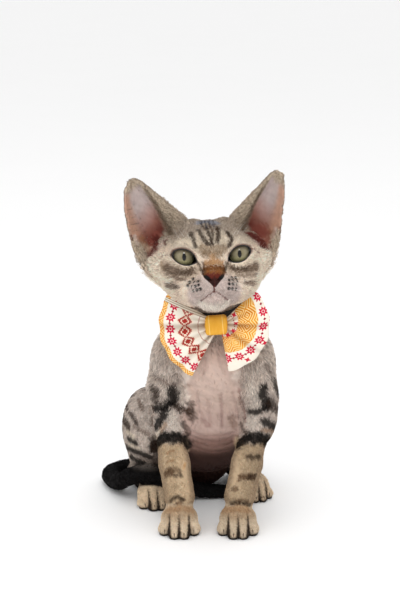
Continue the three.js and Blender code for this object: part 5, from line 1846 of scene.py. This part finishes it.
class Strands:
    """Tapered strands along lines, made by one Geometry Nodes tree: hairs, lid rims and claws."""

    def __init__(self, sides: int = 6) -> None:
        """Builds the tree."""
        tree = bpy.data.node_groups.new("strands", "GeometryNodeTree")
        face = tree.interface
        face.new_socket("Lines", in_out="INPUT", socket_type="NodeSocketGeometry")
        thickness = face.new_socket("Thickness", in_out="INPUT", socket_type="NodeSocketFloat")
        finish = face.new_socket("Finish", in_out="INPUT", socket_type="NodeSocketMaterial")
        face.new_socket("Strands", in_out="OUTPUT", socket_type="NodeSocketGeometry")
        new, link = tree.nodes.new, tree.links.new
        start, end = new("NodeGroupInput"), new("NodeGroupOutput")
        curve, radius = new("GeometryNodeMeshToCurve"), new("GeometryNodeSetCurveRadius")
        ring, sweep = new("GeometryNodeCurvePrimitiveCircle"), new("GeometryNodeCurveToMesh")
        real, paint = new("GeometryNodeRealizeInstances"), new("GeometryNodeSetMaterial")
        taper, times = new("GeometryNodeInputNamedAttribute"), new("ShaderNodeMath")
        taper.data_type = "FLOAT"
        taper.inputs["Name"].default_value = "taper"
        times.operation = "MULTIPLY"
        ring.inputs["Resolution"].default_value = sides
        ring.inputs["Radius"].default_value = 1.0
        sweep.inputs["Fill Caps"].default_value = True
        wires = [
            (start, "Lines", curve, "Mesh"), (taper, "Attribute", times, 0), (start, "Thickness", times, 1),
            (curve, "Curve", radius, "Curve"), (times, 0, radius, "Radius"),
            (radius, "Curve", sweep, "Curve"), (ring, "Curve", sweep, "Profile Curve"),
            (sweep, "Mesh", real, "Geometry"), (real, "Geometry", paint, "Geometry"),
            (start, "Finish", paint, "Material"), (paint, "Geometry", end, "Strands"),
        ]
        if "Scale" in sweep.inputs:
            wires.append((times, 0, sweep, "Scale"))
        for giver, output, taker, input_name in wires:
            link(giver.outputs[output], taker.inputs[input_name])
        self.tree, self.thickness, self.finish = tree, thickness.identifier, finish.identifier

    def make(
        self, name: str, lines: Sequence[Array], taper: Field, thickness: float, finish: bpy.types.Material,
    ) -> bpy.types.Object:
        """Makes a piece of strands.

        Args:
            name: The piece's name.
            lines: The strands' middle lines in millimetres, from root to tip.
            taper: The share of the thickness at 0, the root, to 1, the tip.
            thickness: The radius at its widest, in millimetres.
            finish: The material.

        Returns:
            The piece as a plain mesh.
        """
        mesh = bpy.data.meshes.new(name)
        points, edges, shares = [], [], []
        for line in lines:
            edges += [(len(points) + i, len(points) + i + 1) for i in range(len(line) - 1)]
            points += [tuple((p + CENTRING) * MM) for p in line]
            shares += list(taper(np.linspace(0, 1, len(line))))
        mesh.from_pydata(points, edges, [])
        layer = mesh.attributes.new("taper", "FLOAT", "POINT")
        layer.data.foreach_set("value", shares)
        holder = bpy.data.objects.new(name + "_lines", mesh)
        bpy.context.scene.collection.objects.link(holder)
        modifier = holder.modifiers.new("strands", "NODES")
        modifier.node_group = self.tree
        modifier[self.thickness] = thickness * MM
        modifier[self.finish] = finish
        graph = bpy.context.evaluated_depsgraph_get()
        made = bpy.data.meshes.new_from_object(holder.evaluated_get(graph))
        bpy.data.objects.remove(holder)
        made.name = name
        made.shade_smooth()
        piece = add_object(name, made, None)
        if not made.materials:
            made.materials.append(finish)
        return piece


@dataclass
class Face:
    """The eyes, lid rims, whiskers, brow and ear hairs, and the claws."""

    flesh: Flesh
    view: PictureView
    cornea_radius: float = 7.4
    cornea_rise: float = 1.0
    round: int = 48  # points round an eyeball
    seed: int = 19

    def eye(self, name: str, node: str, side: int) -> None:
        """One eyeball with its cornea."""
        f = self.flesh
        centre = f.eye_centre(side)
        gaze = -HEAD.turn[:, 1]
        across, upward = HEAD.turn[:, 0], HEAD.turn[:, 2]
        ahead = f.eye_radius + self.cornea_rise - self.cornea_radius
        meets = (f.eye_radius**2 - self.cornea_radius**2 + ahead**2) / (2 * ahead)
        edge = math.acos(min(1, (meets - ahead) / self.cornea_radius))
        dome, turns = np.linspace(0, edge, 22), np.linspace(0, math.pi, 50)
        cornea = np.stack([np.sin(dome), np.cos(dome)], -1) * self.cornea_radius + [0, ahead]
        ball = np.stack([np.sin(turns), np.cos(turns)], -1) * f.eye_radius
        profile = np.vstack([cornea, ball[ball[:, 1] < meets - 0.15]])
        turn = np.linspace(0, 2 * math.pi, self.round, endpoint=False)[:, None]
        inner = profile[1:-1]
        spokes = np.cos(turn) * across + np.sin(turn) * upward
        around = centre + inner[:, :1, None] * spokes + inner[:, 1:, None] * gaze
        ends = [centre + gaze * profile[0, 1], centre + gaze * profile[-1, 1]]
        points = np.vstack([around.reshape(-1, 3), ends])
        sides = quads(len(inner), self.round, closed=True)
        first, size = sides[: self.round, :2], around.shape[0] * self.round
        front = np.insert(first, 0, size, axis=1)
        back = np.insert(first[:, ::-1] + size - self.round, 0, size + 1, axis=1)
        faces = np.vstack([sides[:, [0, 3, 2]], sides[:, [0, 2, 1]], front, back])
        mesh = outward(make_mesh(name, points, faces))
        ways = (tuple(way) for way in (across, upward, gaze))
        piece = add_object(name, mesh, EyeFinish(tuple(centre + CENTRING), *ways).make(name))
        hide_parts(node)

    def lid_rim(self, side: int) -> Array:
        """The line of one eye's dark rim, closed, on the edge of the lids."""
        f = self.flesh
        turn, far = np.meshgrid(np.linspace(0, math.tau, 49)[:-1], np.linspace(3, 10, 141), indexing="ij")
        c, s = math.cos(f.lid_slant), side * math.sin(f.lid_slant)
        a, b = far * np.cos(turn), far * np.sin(turn) - f.lid_drop
        flat = np.stack([side * f.eye_apart + a * c - b * s, np.full_like(a, -16), a * s + b * c], -1)
        inside = f.almond(HEAD.out(flat.reshape(-1, 3)), side).reshape(a.shape) < 0
        row = np.arange(len(a)), inside.sum(1)
        x, z = flat[row][:, 0], flat[row][:, 2]
        return f.on_face(x, z) + 0.6 * HEAD.turn[:, 1]

    def make(self) -> None:
        """Builds every piece of the face and the claws."""
        for name, side in SIDES.items():
            self.eye(f"eyeball_{name}", f"eye_{name}", side)
        strands = Strands()
        rims = PlainFinish("lid_rim", (24, 17, 16), 0.45, coat=0.1).make()
        for name, side in SIDES.items():
            line = self.lid_rim(side)
            closed = np.vstack([line, line[:2]])
            piece = strands.make(f"lid_rim_{name}", [closed], np.ones_like, 0.36, rims)
        rng = np.random.default_rng(self.seed)
        pale = PlainFinish("whisker", (232, 226, 216), 0.4).make()
        lines = self.whiskers(rng) + self.brow_hairs(rng)
        piece = strands.make("whiskers", lines, lambda t: 1 - 0.85 * t, 0.08, pale)
        down = PlainFinish("ear_hair", (206, 178, 164), 0.5).make()
        piece = strands.make("ear_hairs", self.ear_hairs(rng), lambda t: 1 - 0.85 * t, 0.055, down)
        horn = PlainFinish("claw", (92, 72, 58), 0.35, coat=0.2).make()
        piece = strands.make("claws", self.claws(), lambda t: 1 - 0.9 * t**1.5, 0.45, horn)

    def whiskers(self, rng: np.random.Generator) -> list[Array]:
        """A whisker from each spot of the whisker pads."""
        lines = []
        for spot in self.view.meet(WHISKER_SPOTS, self.flesh.skin):
            side = math.copysign(1.0, HEAD.into(spot[None])[0, 0])
            way = HEAD.turn @ np.array([side * 0.9, -0.15, rng.uniform(-0.35, 0.05)])
            long, sag = rng.uniform(6, 14), -0.012 * rng.uniform(0.5, 2)
            lines.append(self.hair(spot, way, long, sag, rng))
        return lines

    def brow_hairs(self, rng: np.random.Generator) -> list[Array]:
        """Three hairs over each eye."""
        lines = []
        for side in BOTH:
            for x, z in ((15, 13), (18, 13.6), (21, 12.8)):
                root = self.flesh.on_face(np.array([side * x * 1.0]), np.array([z]))[0]
                way = HEAD.turn @ np.array([side * 0.45, -0.5, 0.8])
                lines.append(self.hair(root, way, rng.uniform(9, 15), -0.02, rng))
        return lines

    def ear_hairs(self, rng: np.random.Generator) -> list[Array]:
        """Thin hairs that stand across the openings of the ears."""
        lines = []
        ends = self.view.meet(np.vstack(INNER_EAR_HAIRS), self.flesh.skin).reshape(2, 2, -1, 3)
        for root, tip in zip(ends[:, 0].reshape(-1, 3), ends[:, 1].reshape(-1, 3)):
            for _ in range(4):
                way = tip - root + rng.normal(0, 1.4, 3) - np.array([0, 2.5, 0])
                lines.append(self.hair(root + rng.normal(0, 0.9, 3), way, rng.uniform(5, 9), -0.01, rng))
        return lines

    @staticmethod
    def claws() -> list[Array]:
        """A short bent claw on each toe."""
        bend = ((-2.5, 5.6), (-0.6, 5.5), (0.6, 4.6), (1.1, 3.2))  # how far past the toe's tip, how high
        lines = []
        for paw in [*FOREPAWS.values(), *HIND_PAWS.values()]:
            for across, tip in paw.toes():
                path = np.array([paw.at(across, tip + on, z) for on, z in bend])
                lines.append(paw.place.out(path) if paw.place else path)
        return lines

    @staticmethod
    def hair(root: Array, way: Array, long: float, sag: float, rng: np.random.Generator) -> Array:
        """One wavy hair from its root."""
        t = np.linspace(0, 1, 12)[:, None]
        way = way / np.linalg.norm(way)
        wave = rng.uniform(-0.05, 0.05, 3) * long * np.sin(t * math.pi * rng.uniform(1.2, 2.2))
        return root - 0.6 * way + way * long * t + wave + np.array([0, 0, sag * long]) * long * t**2 * 0.5


def outward(mesh: bpy.types.Mesh) -> bpy.types.Mesh:
    """Turns a closed mesh's faces outwards."""
    mesh.update()
    points = np.empty(len(mesh.vertices) * 3, np.float64)
    mesh.vertices.foreach_get("co", points)
    points = points.reshape(-1, 3)
    points -= points.mean(0)
    mesh.calc_loop_triangles()
    tris = np.empty(len(mesh.loop_triangles) * 3, np.int32)
    mesh.loop_triangles.foreach_get("vertices", tris)
    a, b, c = (points[tris.reshape(-1, 3)[:, n]] for n in range(3))
    if dots(a, np.cross(b, c)).sum() < 0:
        mesh.flip_normals()
    return mesh


CLOTH_SPAN = 50.0  # millimetres from the wings' middle to the far edge of the Cloth map
CLOTH_START = -90.0  # degrees, the angle at the map's near edge


@dataclass(frozen=True)
class BowClothFinish:
    """Printed cotton: cream, with rows of woven-looking motifs round the knot.

    The Cloth map gives the angle round the middle of the wings and the distance from it. Distances
    are in millimetres from the middle, and angles in degrees.
    """

    name: str
    row: tuple[float, float]  # how far out the florets are, and how much further at each degree
    spacing: float
    first: float  # where one floret is
    zigzag: tuple[float, float, float, float]  # inner edge, its slope, outer edge, its slope
    diamonds: tuple[float, float, float] | None  # how far out, spacing, and where one is
    beads: float
    hem: tuple[float, float, float]  # a straight fold painted as light and shade: the way it faces, how far off, and how wide
    sprigs: tuple[tuple[float, ...], ...]  # each how far out, slope, spacing, where one is, and size

    def make(self) -> bpy.types.Material:
        """Makes the material."""
        s = Shader(self.name, roughness=0.85, specular_ior_level=0.2)
        split = s.tree.nodes.new("ShaderNodeSeparateXYZ")
        s.put(split.inputs[0], s.node("ShaderNodeUVMap", {"uv_map": "Cloth"}))
        turn = Socket(s, split.outputs[0]) * 360.0 + CLOTH_START
        out = Socket(s, split.outputs[1]) * CLOTH_SPAN
        patchy = s.noise(s.coordinates(), 160, 3.0)
        colour = s.mix(patchy, srgb(236, 226, 208), srgb(250, 243, 231))
        colour = self.band(s, turn, out, patchy, colour)
        colour = self.florets(s, turn, out, colour)
        colour = self.small_motifs(s, turn, out, colour)
        colour = self.folded_hem(s, turn, out, colour)
        # Painted shade in the wings' creases and near the knot, from the fold values of the mesh.
        shaded = s.mix(1.0, colour, (0.42, 0.34, 0.30), "MULTIPLY")
        colour = s.mix(s.attribute("fold"), colour, shaded)
        weave = (turn * self.arc(out) * 2.6).wave() * 0.5 + (out * 2.6).wave() * 0.5
        s.bump(weave + patchy * 0.6, 0.00012, 0.7)
        return s.feed(base_color=colour, roughness=0.82 + patchy * 0.08)

    @staticmethod
    def arc(out: Socket) -> Socket:
        """How many millimetres a degree is, this far out."""
        return out * math.radians(1)

    @staticmethod
    def along(turn: Socket, place: float, spacing: float) -> Socket:
        """How far round each point is from the nearest of evenly spaced motifs, in degrees."""
        return (((turn - place) / spacing + 0.5).part() - 0.5) * spacing

    def band(self, s: Shader, turn: Socket, out: Socket, patchy: Socket, colour: Socket) -> Socket:
        """Lays the broad orange band with its stepped lines."""
        low, low_slope, high, high_slope = self.zigzag
        inner, outer = turn * low_slope + low, turn * high_slope + high
        band = (out - inner).ease(-0.2, 0.2) * (outer - out).ease(-0.2, 0.2)
        steps = (turn * (math.radians(1) * (low + high) / 2 / 7.6)).wave() * 3.8
        lines = ((abs(out - (inner + outer) * 0.5) + steps) / 2.0).wave()
        deep = s.mix(patchy.ease(0.4, 0.65), srgb(222, 134, 30), srgb(240, 168, 62))
        return s.mix(band, colour, s.mix(lines.ease(0.52, 0.66), deep, srgb(250, 222, 156)))

    def florets(self, s: Shader, turn: Socket, out: Socket, colour: Socket) -> Socket:
        """Lays the row of red florets, the small links between them and the beads."""
        b = out - (turn * self.row[1] + self.row[0])
        a = self.along(turn, self.first, self.spacing) * self.arc(out)
        size = (a * a + b * b) ** 0.5
        star = (b.math("ARCTAN2", a) * 8.0).math("COSINE") * 0.65 + 2.75
        colour = s.mix((size / star).ease(1.08, 0.94), colour, srgb(206, 22, 66))
        ring = size.ease(0.7, 0.85) * size.ease(1.3, 1.15)
        colour = s.mix(ring * 0.9, colour, srgb(240, 214, 206))
        middle = self.along(turn, self.first + self.spacing / 2, self.spacing)
        link = abs(middle * self.arc(out)) + abs(b)
        colour = s.mix(link.ease(1.15, 0.95), colour, srgb(158, 28, 50))
        bead = abs((turn * self.arc(out) / 1.5).part() - 0.5) * 1.5 + abs(out - self.beads)
        return s.mix(bead.ease(0.6, 0.45), colour, srgb(170, 74, 58))

    def small_motifs(self, s: Shader, turn: Socket, out: Socket, colour: Socket) -> Socket:
        """Lays the stepped diamonds and the sprigs."""
        if self.diamonds is not None:
            far, spacing, place = self.diamonds
            a, b = abs(self.along(turn, place, spacing) * self.arc(out)), abs(out - far)
            stepped = (a * 1.2).math("CEIL") / 1.2 + (b * 1.05).math("CEIL") / 1.05
            rings = (stepped / 2.7 + 0.15).wave()
            motif = s.mix(rings.ease(0.4, 0.6), srgb(168, 52, 44), srgb(244, 222, 200))
            colour = s.mix(stepped.ease(6.7, 6.5), colour, motif)
        for far, slope, spacing, place, wide in self.sprigs:
            a, b = abs(self.along(turn, place, spacing) * self.arc(out)), abs(out - turn * slope - far)
            sprig = abs(a - b) + (a + b) * 0.5
            colour = s.mix(sprig.ease(wide, wide - 0.3), colour, srgb(204, 40, 62))
        return colour

    def folded_hem(self, s: Shader, turn: Socket, out: Socket, colour: Socket) -> Socket:
        """Paints a straight fold as light and shade: a pale band of painted highlight, painted shade along
        both its sides and a darker line down its middle.
        """
        facing, off, wide = self.hem
        away = (turn - facing) * math.radians(1)
        past = abs(out * away.math("COSINE") - off)
        colour = s.mix(past.ease(wide + 0.45, wide + 0.25), colour, srgb(150, 128, 108))
        colour = s.mix(past.ease(wide + 0.1, wide - 0.1), colour, srgb(238, 230, 214))
        return s.mix(past.ease(0.3, 0.15), colour, srgb(168, 146, 124))


@dataclass(frozen=True)
class KnotFinish:
    """Mustard cotton with fine upright ribs and two rows of stitches."""

    def make(self) -> bpy.types.Material:
        """Makes the material."""
        s = Shader("knot_cloth", roughness=0.8, specular_ior_level=0.2)
        where = s.coordinates()
        across = s.dot(where, (1000.0, 0.0, 90.0)) - 13.0
        rib = (across * 1.3).wave()
        thread = (s.dot(where, (0.0, 0.3, 1.0)) * 2600.0).wave()
        patchy = s.noise(s.stretched(where, (3.0, 1.0, 0.6)), 180, 3.0)
        colour = s.mix(patchy, srgb(230, 158, 44), srgb(245, 190, 82))
        # Darker in the grooves between the ribs: painted shade.
        colour = s.mix(rib.ease(0.4, 0.0) * 0.4, colour, srgb(184, 116, 24))
        stitch = abs(abs(across - 18.6) - 4.6)
        colour = s.mix(stitch.ease(0.34, 0.15) * 0.7, colour, srgb(255, 222, 140))
        s.bump(rib + thread * 0.4, 0.00018, 0.8)
        return s.feed(base_color=colour)


@dataclass
class BowTie:
    """Two gathered wings and a knot, on a plain strap round the neck."""

    flesh: Flesh
    knot: tuple[float, float, float] = (5.0, -32.6, 145.0)
    wings_x: float = 7.6
    cloth: float = 0.9
    strap_width: float = 8.0
    strap_thickness: float = 1.3

    def wing(
        self, name: str, node: str, angles: tuple[float, float], reach: float,
        creases: Sequence[tuple[float, float, float]], finish: BowClothFinish,
    ) -> None:
        """One wing: a gathered loop of cloth, closed at its outer edge and full in the middle.

        Args:
            name: The piece's name.
            node: The node it stands for.
            angles: Where it begins and ends, in degrees anticlockwise from the kitten's left.
            reach: How far it goes from the knot, in millimetres.
            creases: Each crease's angle, width in degrees and depth in millimetres.
            finish: Its cloth.
        """
        rows, columns = 121, 31  # points along the wing's edge, and from the knot out to it
        u, v = shares(rows, columns)
        degrees = angles[0] + (angles[1] - angles[0]) * u
        turn = np.radians(degrees)
        radius = 5 + (reach - 5) * v
        wavy = 1 + 0.012 * np.sin(9 * math.pi * u) * v
        swell = np.sqrt(np.maximum(np.sin(math.pi * u), 0))
        crease = np.zeros_like(u)
        for place, wide, deep in creases:
            crease += deep * np.exp(-(((degrees - place) / (wide * (1.6 - v))) ** 2)) * (1 - 0.6 * v)
        gather = 0.8 * np.cos(2 * math.pi * 7 * u) * (1 - v) ** 2.5
        pleat = (crease + gather) * np.minimum(1, 6 * v + 0.2)
        bulge = 4.8 * np.sin(math.pi * np.minimum(v / 1.15, 1)) * swell
        x = self.wings_x + radius * wavy * np.cos(turn)
        z = self.knot[2] + radius * wavy * np.sin(turn) * 0.98
        y = self.knot[1] + 1.0 - bulge + pleat
        full = 0.45 + 2.4 * np.sqrt(np.maximum(np.sin(math.pi * v), 0)) * swell
        front = np.stack([x, y - full, z], -1).reshape(-1, 3)
        back = np.stack([x, y + full, z], -1).reshape(-1, 3)
        size, sheet = u.size, quads(rows, columns)[:, [0, 3, 2, 1]]
        number = np.arange(size).reshape(u.shape)
        border = np.concatenate([number[:-1, 0], number[-1, :-1], number[:0:-1, -1], number[0, :0:-1]])
        after = np.roll(border, -1)
        hem = np.stack([after, border, size + border, size + after], -1)
        faces = np.vstack([np.stack([sheet, size + sheet[:, ::-1]], 1).reshape(-1, 4), hem])
        mesh = outward(make_mesh(name, np.vstack([front, back]), faces))
        flat = np.stack([(degrees.ravel() - CLOTH_START) / 360, radius.ravel() / CLOTH_SPAN], -1)
        put_map(mesh, "Cloth", np.tile(flat, (2, 1)))
        # Painted shade: deepest in the creases and near the knot, stored as the fold values that darken the
        # cloth.
        crease_shade = (np.clip(crease / 3.2, 0, 1) * 0.75 + 0.25 * (1 - v) ** 3).ravel()
        put_values(mesh, "fold", np.tile(crease_shade, 2))
        piece = add_object(name, mesh, finish.make())
        smooth = piece.modifiers.new("smooth", "SUBSURF")
        smooth.levels = smooth.render_levels = 1
        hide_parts(node)

    def knot_piece(self) -> None:
        """The knot: a snug band with softly pulled-in sides."""
        rows, ring, square = 26, 44, 3.2
        half_x, half_y, half_z = 7.9, 5.8, 6.9
        tilt = math.radians(-4)
        t = np.linspace(-1, 1, rows)
        turn = np.linspace(0, 2 * math.pi, ring, endpoint=False)
        c, s = np.cos(turn), np.sin(turn)
        box = (np.abs(c) ** square + np.abs(s) ** square) ** (-1 / square)
        waist = (1 - np.abs(t) ** 7) ** (1 / 3.0) * (1 - 0.05 * (1 - t**2) + 0.012 * np.sin(t * 21))
        y = waist[:, None] * half_y * (box * c)[None]
        z = waist[:, None] * half_z * (box * s)[None]
        x = (t * half_x)[:, None] + 0.025 * z
        tilted = x * math.cos(tilt) + z * math.sin(tilt), y, z * math.cos(tilt) - x * math.sin(tilt)
        points = np.stack(tilted, -1).reshape(-1, 3) + np.array(self.knot)
        mesh = outward(make_mesh("knot_band", points, quads(rows, ring, closed=True)))
        piece = add_object("knot_band", mesh, KnotFinish().make())
        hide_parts("bow_knot")

    def strap(self) -> None:
        """The strap that the bow hangs on, lying round the neck."""
        plane = Turned((2, -3, 156), 0, 20, 0)
        ring, rows, inmost, step = 96, 9, 14.0, 0.25
        turn = np.linspace(0, 2 * math.pi, ring, endpoint=False)
        height = np.linspace(-1, 1, rows) * self.strap_width / 2
        outer = np.zeros((rows, ring))
        for j, h in enumerate(height):
            radius = np.full(ring, inmost)
            for _ in range(120):
                flat = (radius * np.cos(turn), radius * np.sin(turn), np.full(ring, h))
                at = plane.out(np.stack(flat, -1))
                radius = np.where(self.flesh.body(at) < step, radius + step, radius)
            outer[j] = radius
        edge = np.sqrt(np.maximum(1 - (np.abs(height) / (self.strap_width / 2)) ** 6, 0))[:, None]
        far, near = outer + self.strap_thickness * (0.55 + 0.45 * edge), outer + 0.02

        def laid(radius: Array) -> Array:
            """Points of the strap at these radii."""
            flat = (radius * np.cos(turn), radius * np.sin(turn), np.repeat(height[:, None], ring, 1))
            return plane.out(np.stack(flat, -1).reshape(-1, 3))

        size, band = rows * ring, quads(rows, ring, closed=True)
        low, high = band[:ring, 1::-1], band[-ring:, 3:1:-1]
        edges = [np.hstack([low, size + low[:, ::-1]]), np.hstack([high, size + high[:, ::-1]])]
        faces = np.vstack([band, size + band[:, ::-1], *edges])
        mesh = outward(make_mesh("neck_strap", np.vstack([laid(far), laid(near)]), faces))
        leather = PlainFinish("strap", (16, 15, 15), 0.6, grain=0.0001, grain_scale=2400.0, variation=0.4)
        piece = add_object("neck_strap", mesh, leather.make())
        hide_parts("collar")

    def make(self) -> None:
        """Builds the bow tie and its strap."""
        right = BowClothFinish(
            "cloth_right", (34.1, 0), 14.2, 155, (38.3, 0, 44, 0), (24.2, 17.5, 170.5), 15,
            (66, 1.9, 1.1), (),
        )
        left = BowClothFinish(
            "cloth_left", (29.8, 0.074), 19.4, 0, (12, 0.05, 25.4, 0.074), None, 10, (136, 4.6, 1.0),
            ((10.6, 0.04, 30, 8, 1.7), (34.6, 0.074, 30, -52, 1.8)),
        )
        folds = ((181, 5, 4.2), (205, 4, 1.6), (228, 4.5, 2.8))
        self.wing("wing_cloth_right", "bow_wing_right", (147, 243), 41.6, folds, right)
        folds = ((0, 5, 3.6), (-35, 5, 3.0), (28, 4, 1.4))
        self.wing("wing_cloth_left", "bow_wing_left", (46, -80), 34.0, folds, left)
        self.knot_piece()
        self.strap()


@dataclass
class Studio:
    """A pale floor and soft light."""

    floor_colour: tuple[float, float, float] = (0.98, 0.98, 0.98)
    floor_reach: float = 30.0  # metres
    horizon: float = 0.83  # how bright the room is at eye level
    ceiling: float = 1.0  # how bright it is overhead

    def light(self, name: str, place: Sequence[float], size: float, power: float) -> None:
        """A soft square light that faces the kitten."""
        data = bpy.data.lights.new(name, "AREA")
        data.size = size
        data.energy = power
        lamp = bpy.data.objects.new(name, data)
        lamp.location = place
        towards = Vector((0, 0, 0.12)) - Vector(place)
        lamp.rotation_euler = towards.to_track_quat("-Z", "Y").to_euler()
        bpy.context.scene.collection.objects.link(lamp)

    def make(self) -> None:
        """Builds the floor, the sky and the lights."""
        mesh = bpy.data.meshes.new("floor")
        far = self.floor_reach
        corners = [(-far, -far, 0), (far, -far, 0), (far, far, 0), (-far, far, 0)]
        mesh.from_pydata(corners, [], [(0, 1, 2, 3)])
        floor = bpy.data.objects.new("floor", mesh)
        bpy.context.scene.collection.objects.link(floor)
        s = Shader("floor", roughness=0.7)
        grain = s.noise(s.coordinates(), 6.0, 2.0)
        pale = tuple(c * 0.985 for c in self.floor_colour)
        mesh.materials.append(s.feed(base_color=s.mix(grain, pale, self.floor_colour)))
        world = bpy.data.worlds.new("studio")
        world.use_nodes = True
        tree = world.node_tree
        tree.nodes["Background"].inputs[0].default_value = (1, 1, 1, 1)
        place, split = tree.nodes.new("ShaderNodeTexCoord"), tree.nodes.new("ShaderNodeSeparateXYZ")
        spread = tree.nodes.new("ShaderNodeMapRange")
        for socket, value in zip(spread.inputs[1:5], (0.0, 1.0, self.horizon, self.ceiling)):
            socket.default_value = value
        tree.links.new(place.outputs["Generated"], split.inputs[0])
        tree.links.new(split.outputs["Z"], spread.inputs[0])
        tree.links.new(spread.outputs[0], tree.nodes["Background"].inputs[1])
        bpy.context.scene.world = world
        bpy.context.scene.view_settings.view_transform = "Standard"
        self.light("key", (0.16, -1.15, 1.2), 0.3, 4.6)
        self.light("fill", (-0.8, -1.5, 0.9), 1.4, 5)
        self.light("top", (0.1, 0.5, 1.8), 1.4, 3)


def main() -> None:
    """Builds the kitten piece by piece."""
    logging.basicConfig(level=logging.INFO, format="%(name)s: %(message)s")
    view = PictureView()
    view.make()
    flesh = Flesh()
    LOG.info("flesh ready")
    pattern = CoatPattern(flesh, view)
    LOG.info("pattern ready")
    Body(flesh, pattern).make()
    Face(flesh, view).make()
    BowTie(flesh).make()
    Studio().make()


if __name__ == "__main__":
    main()
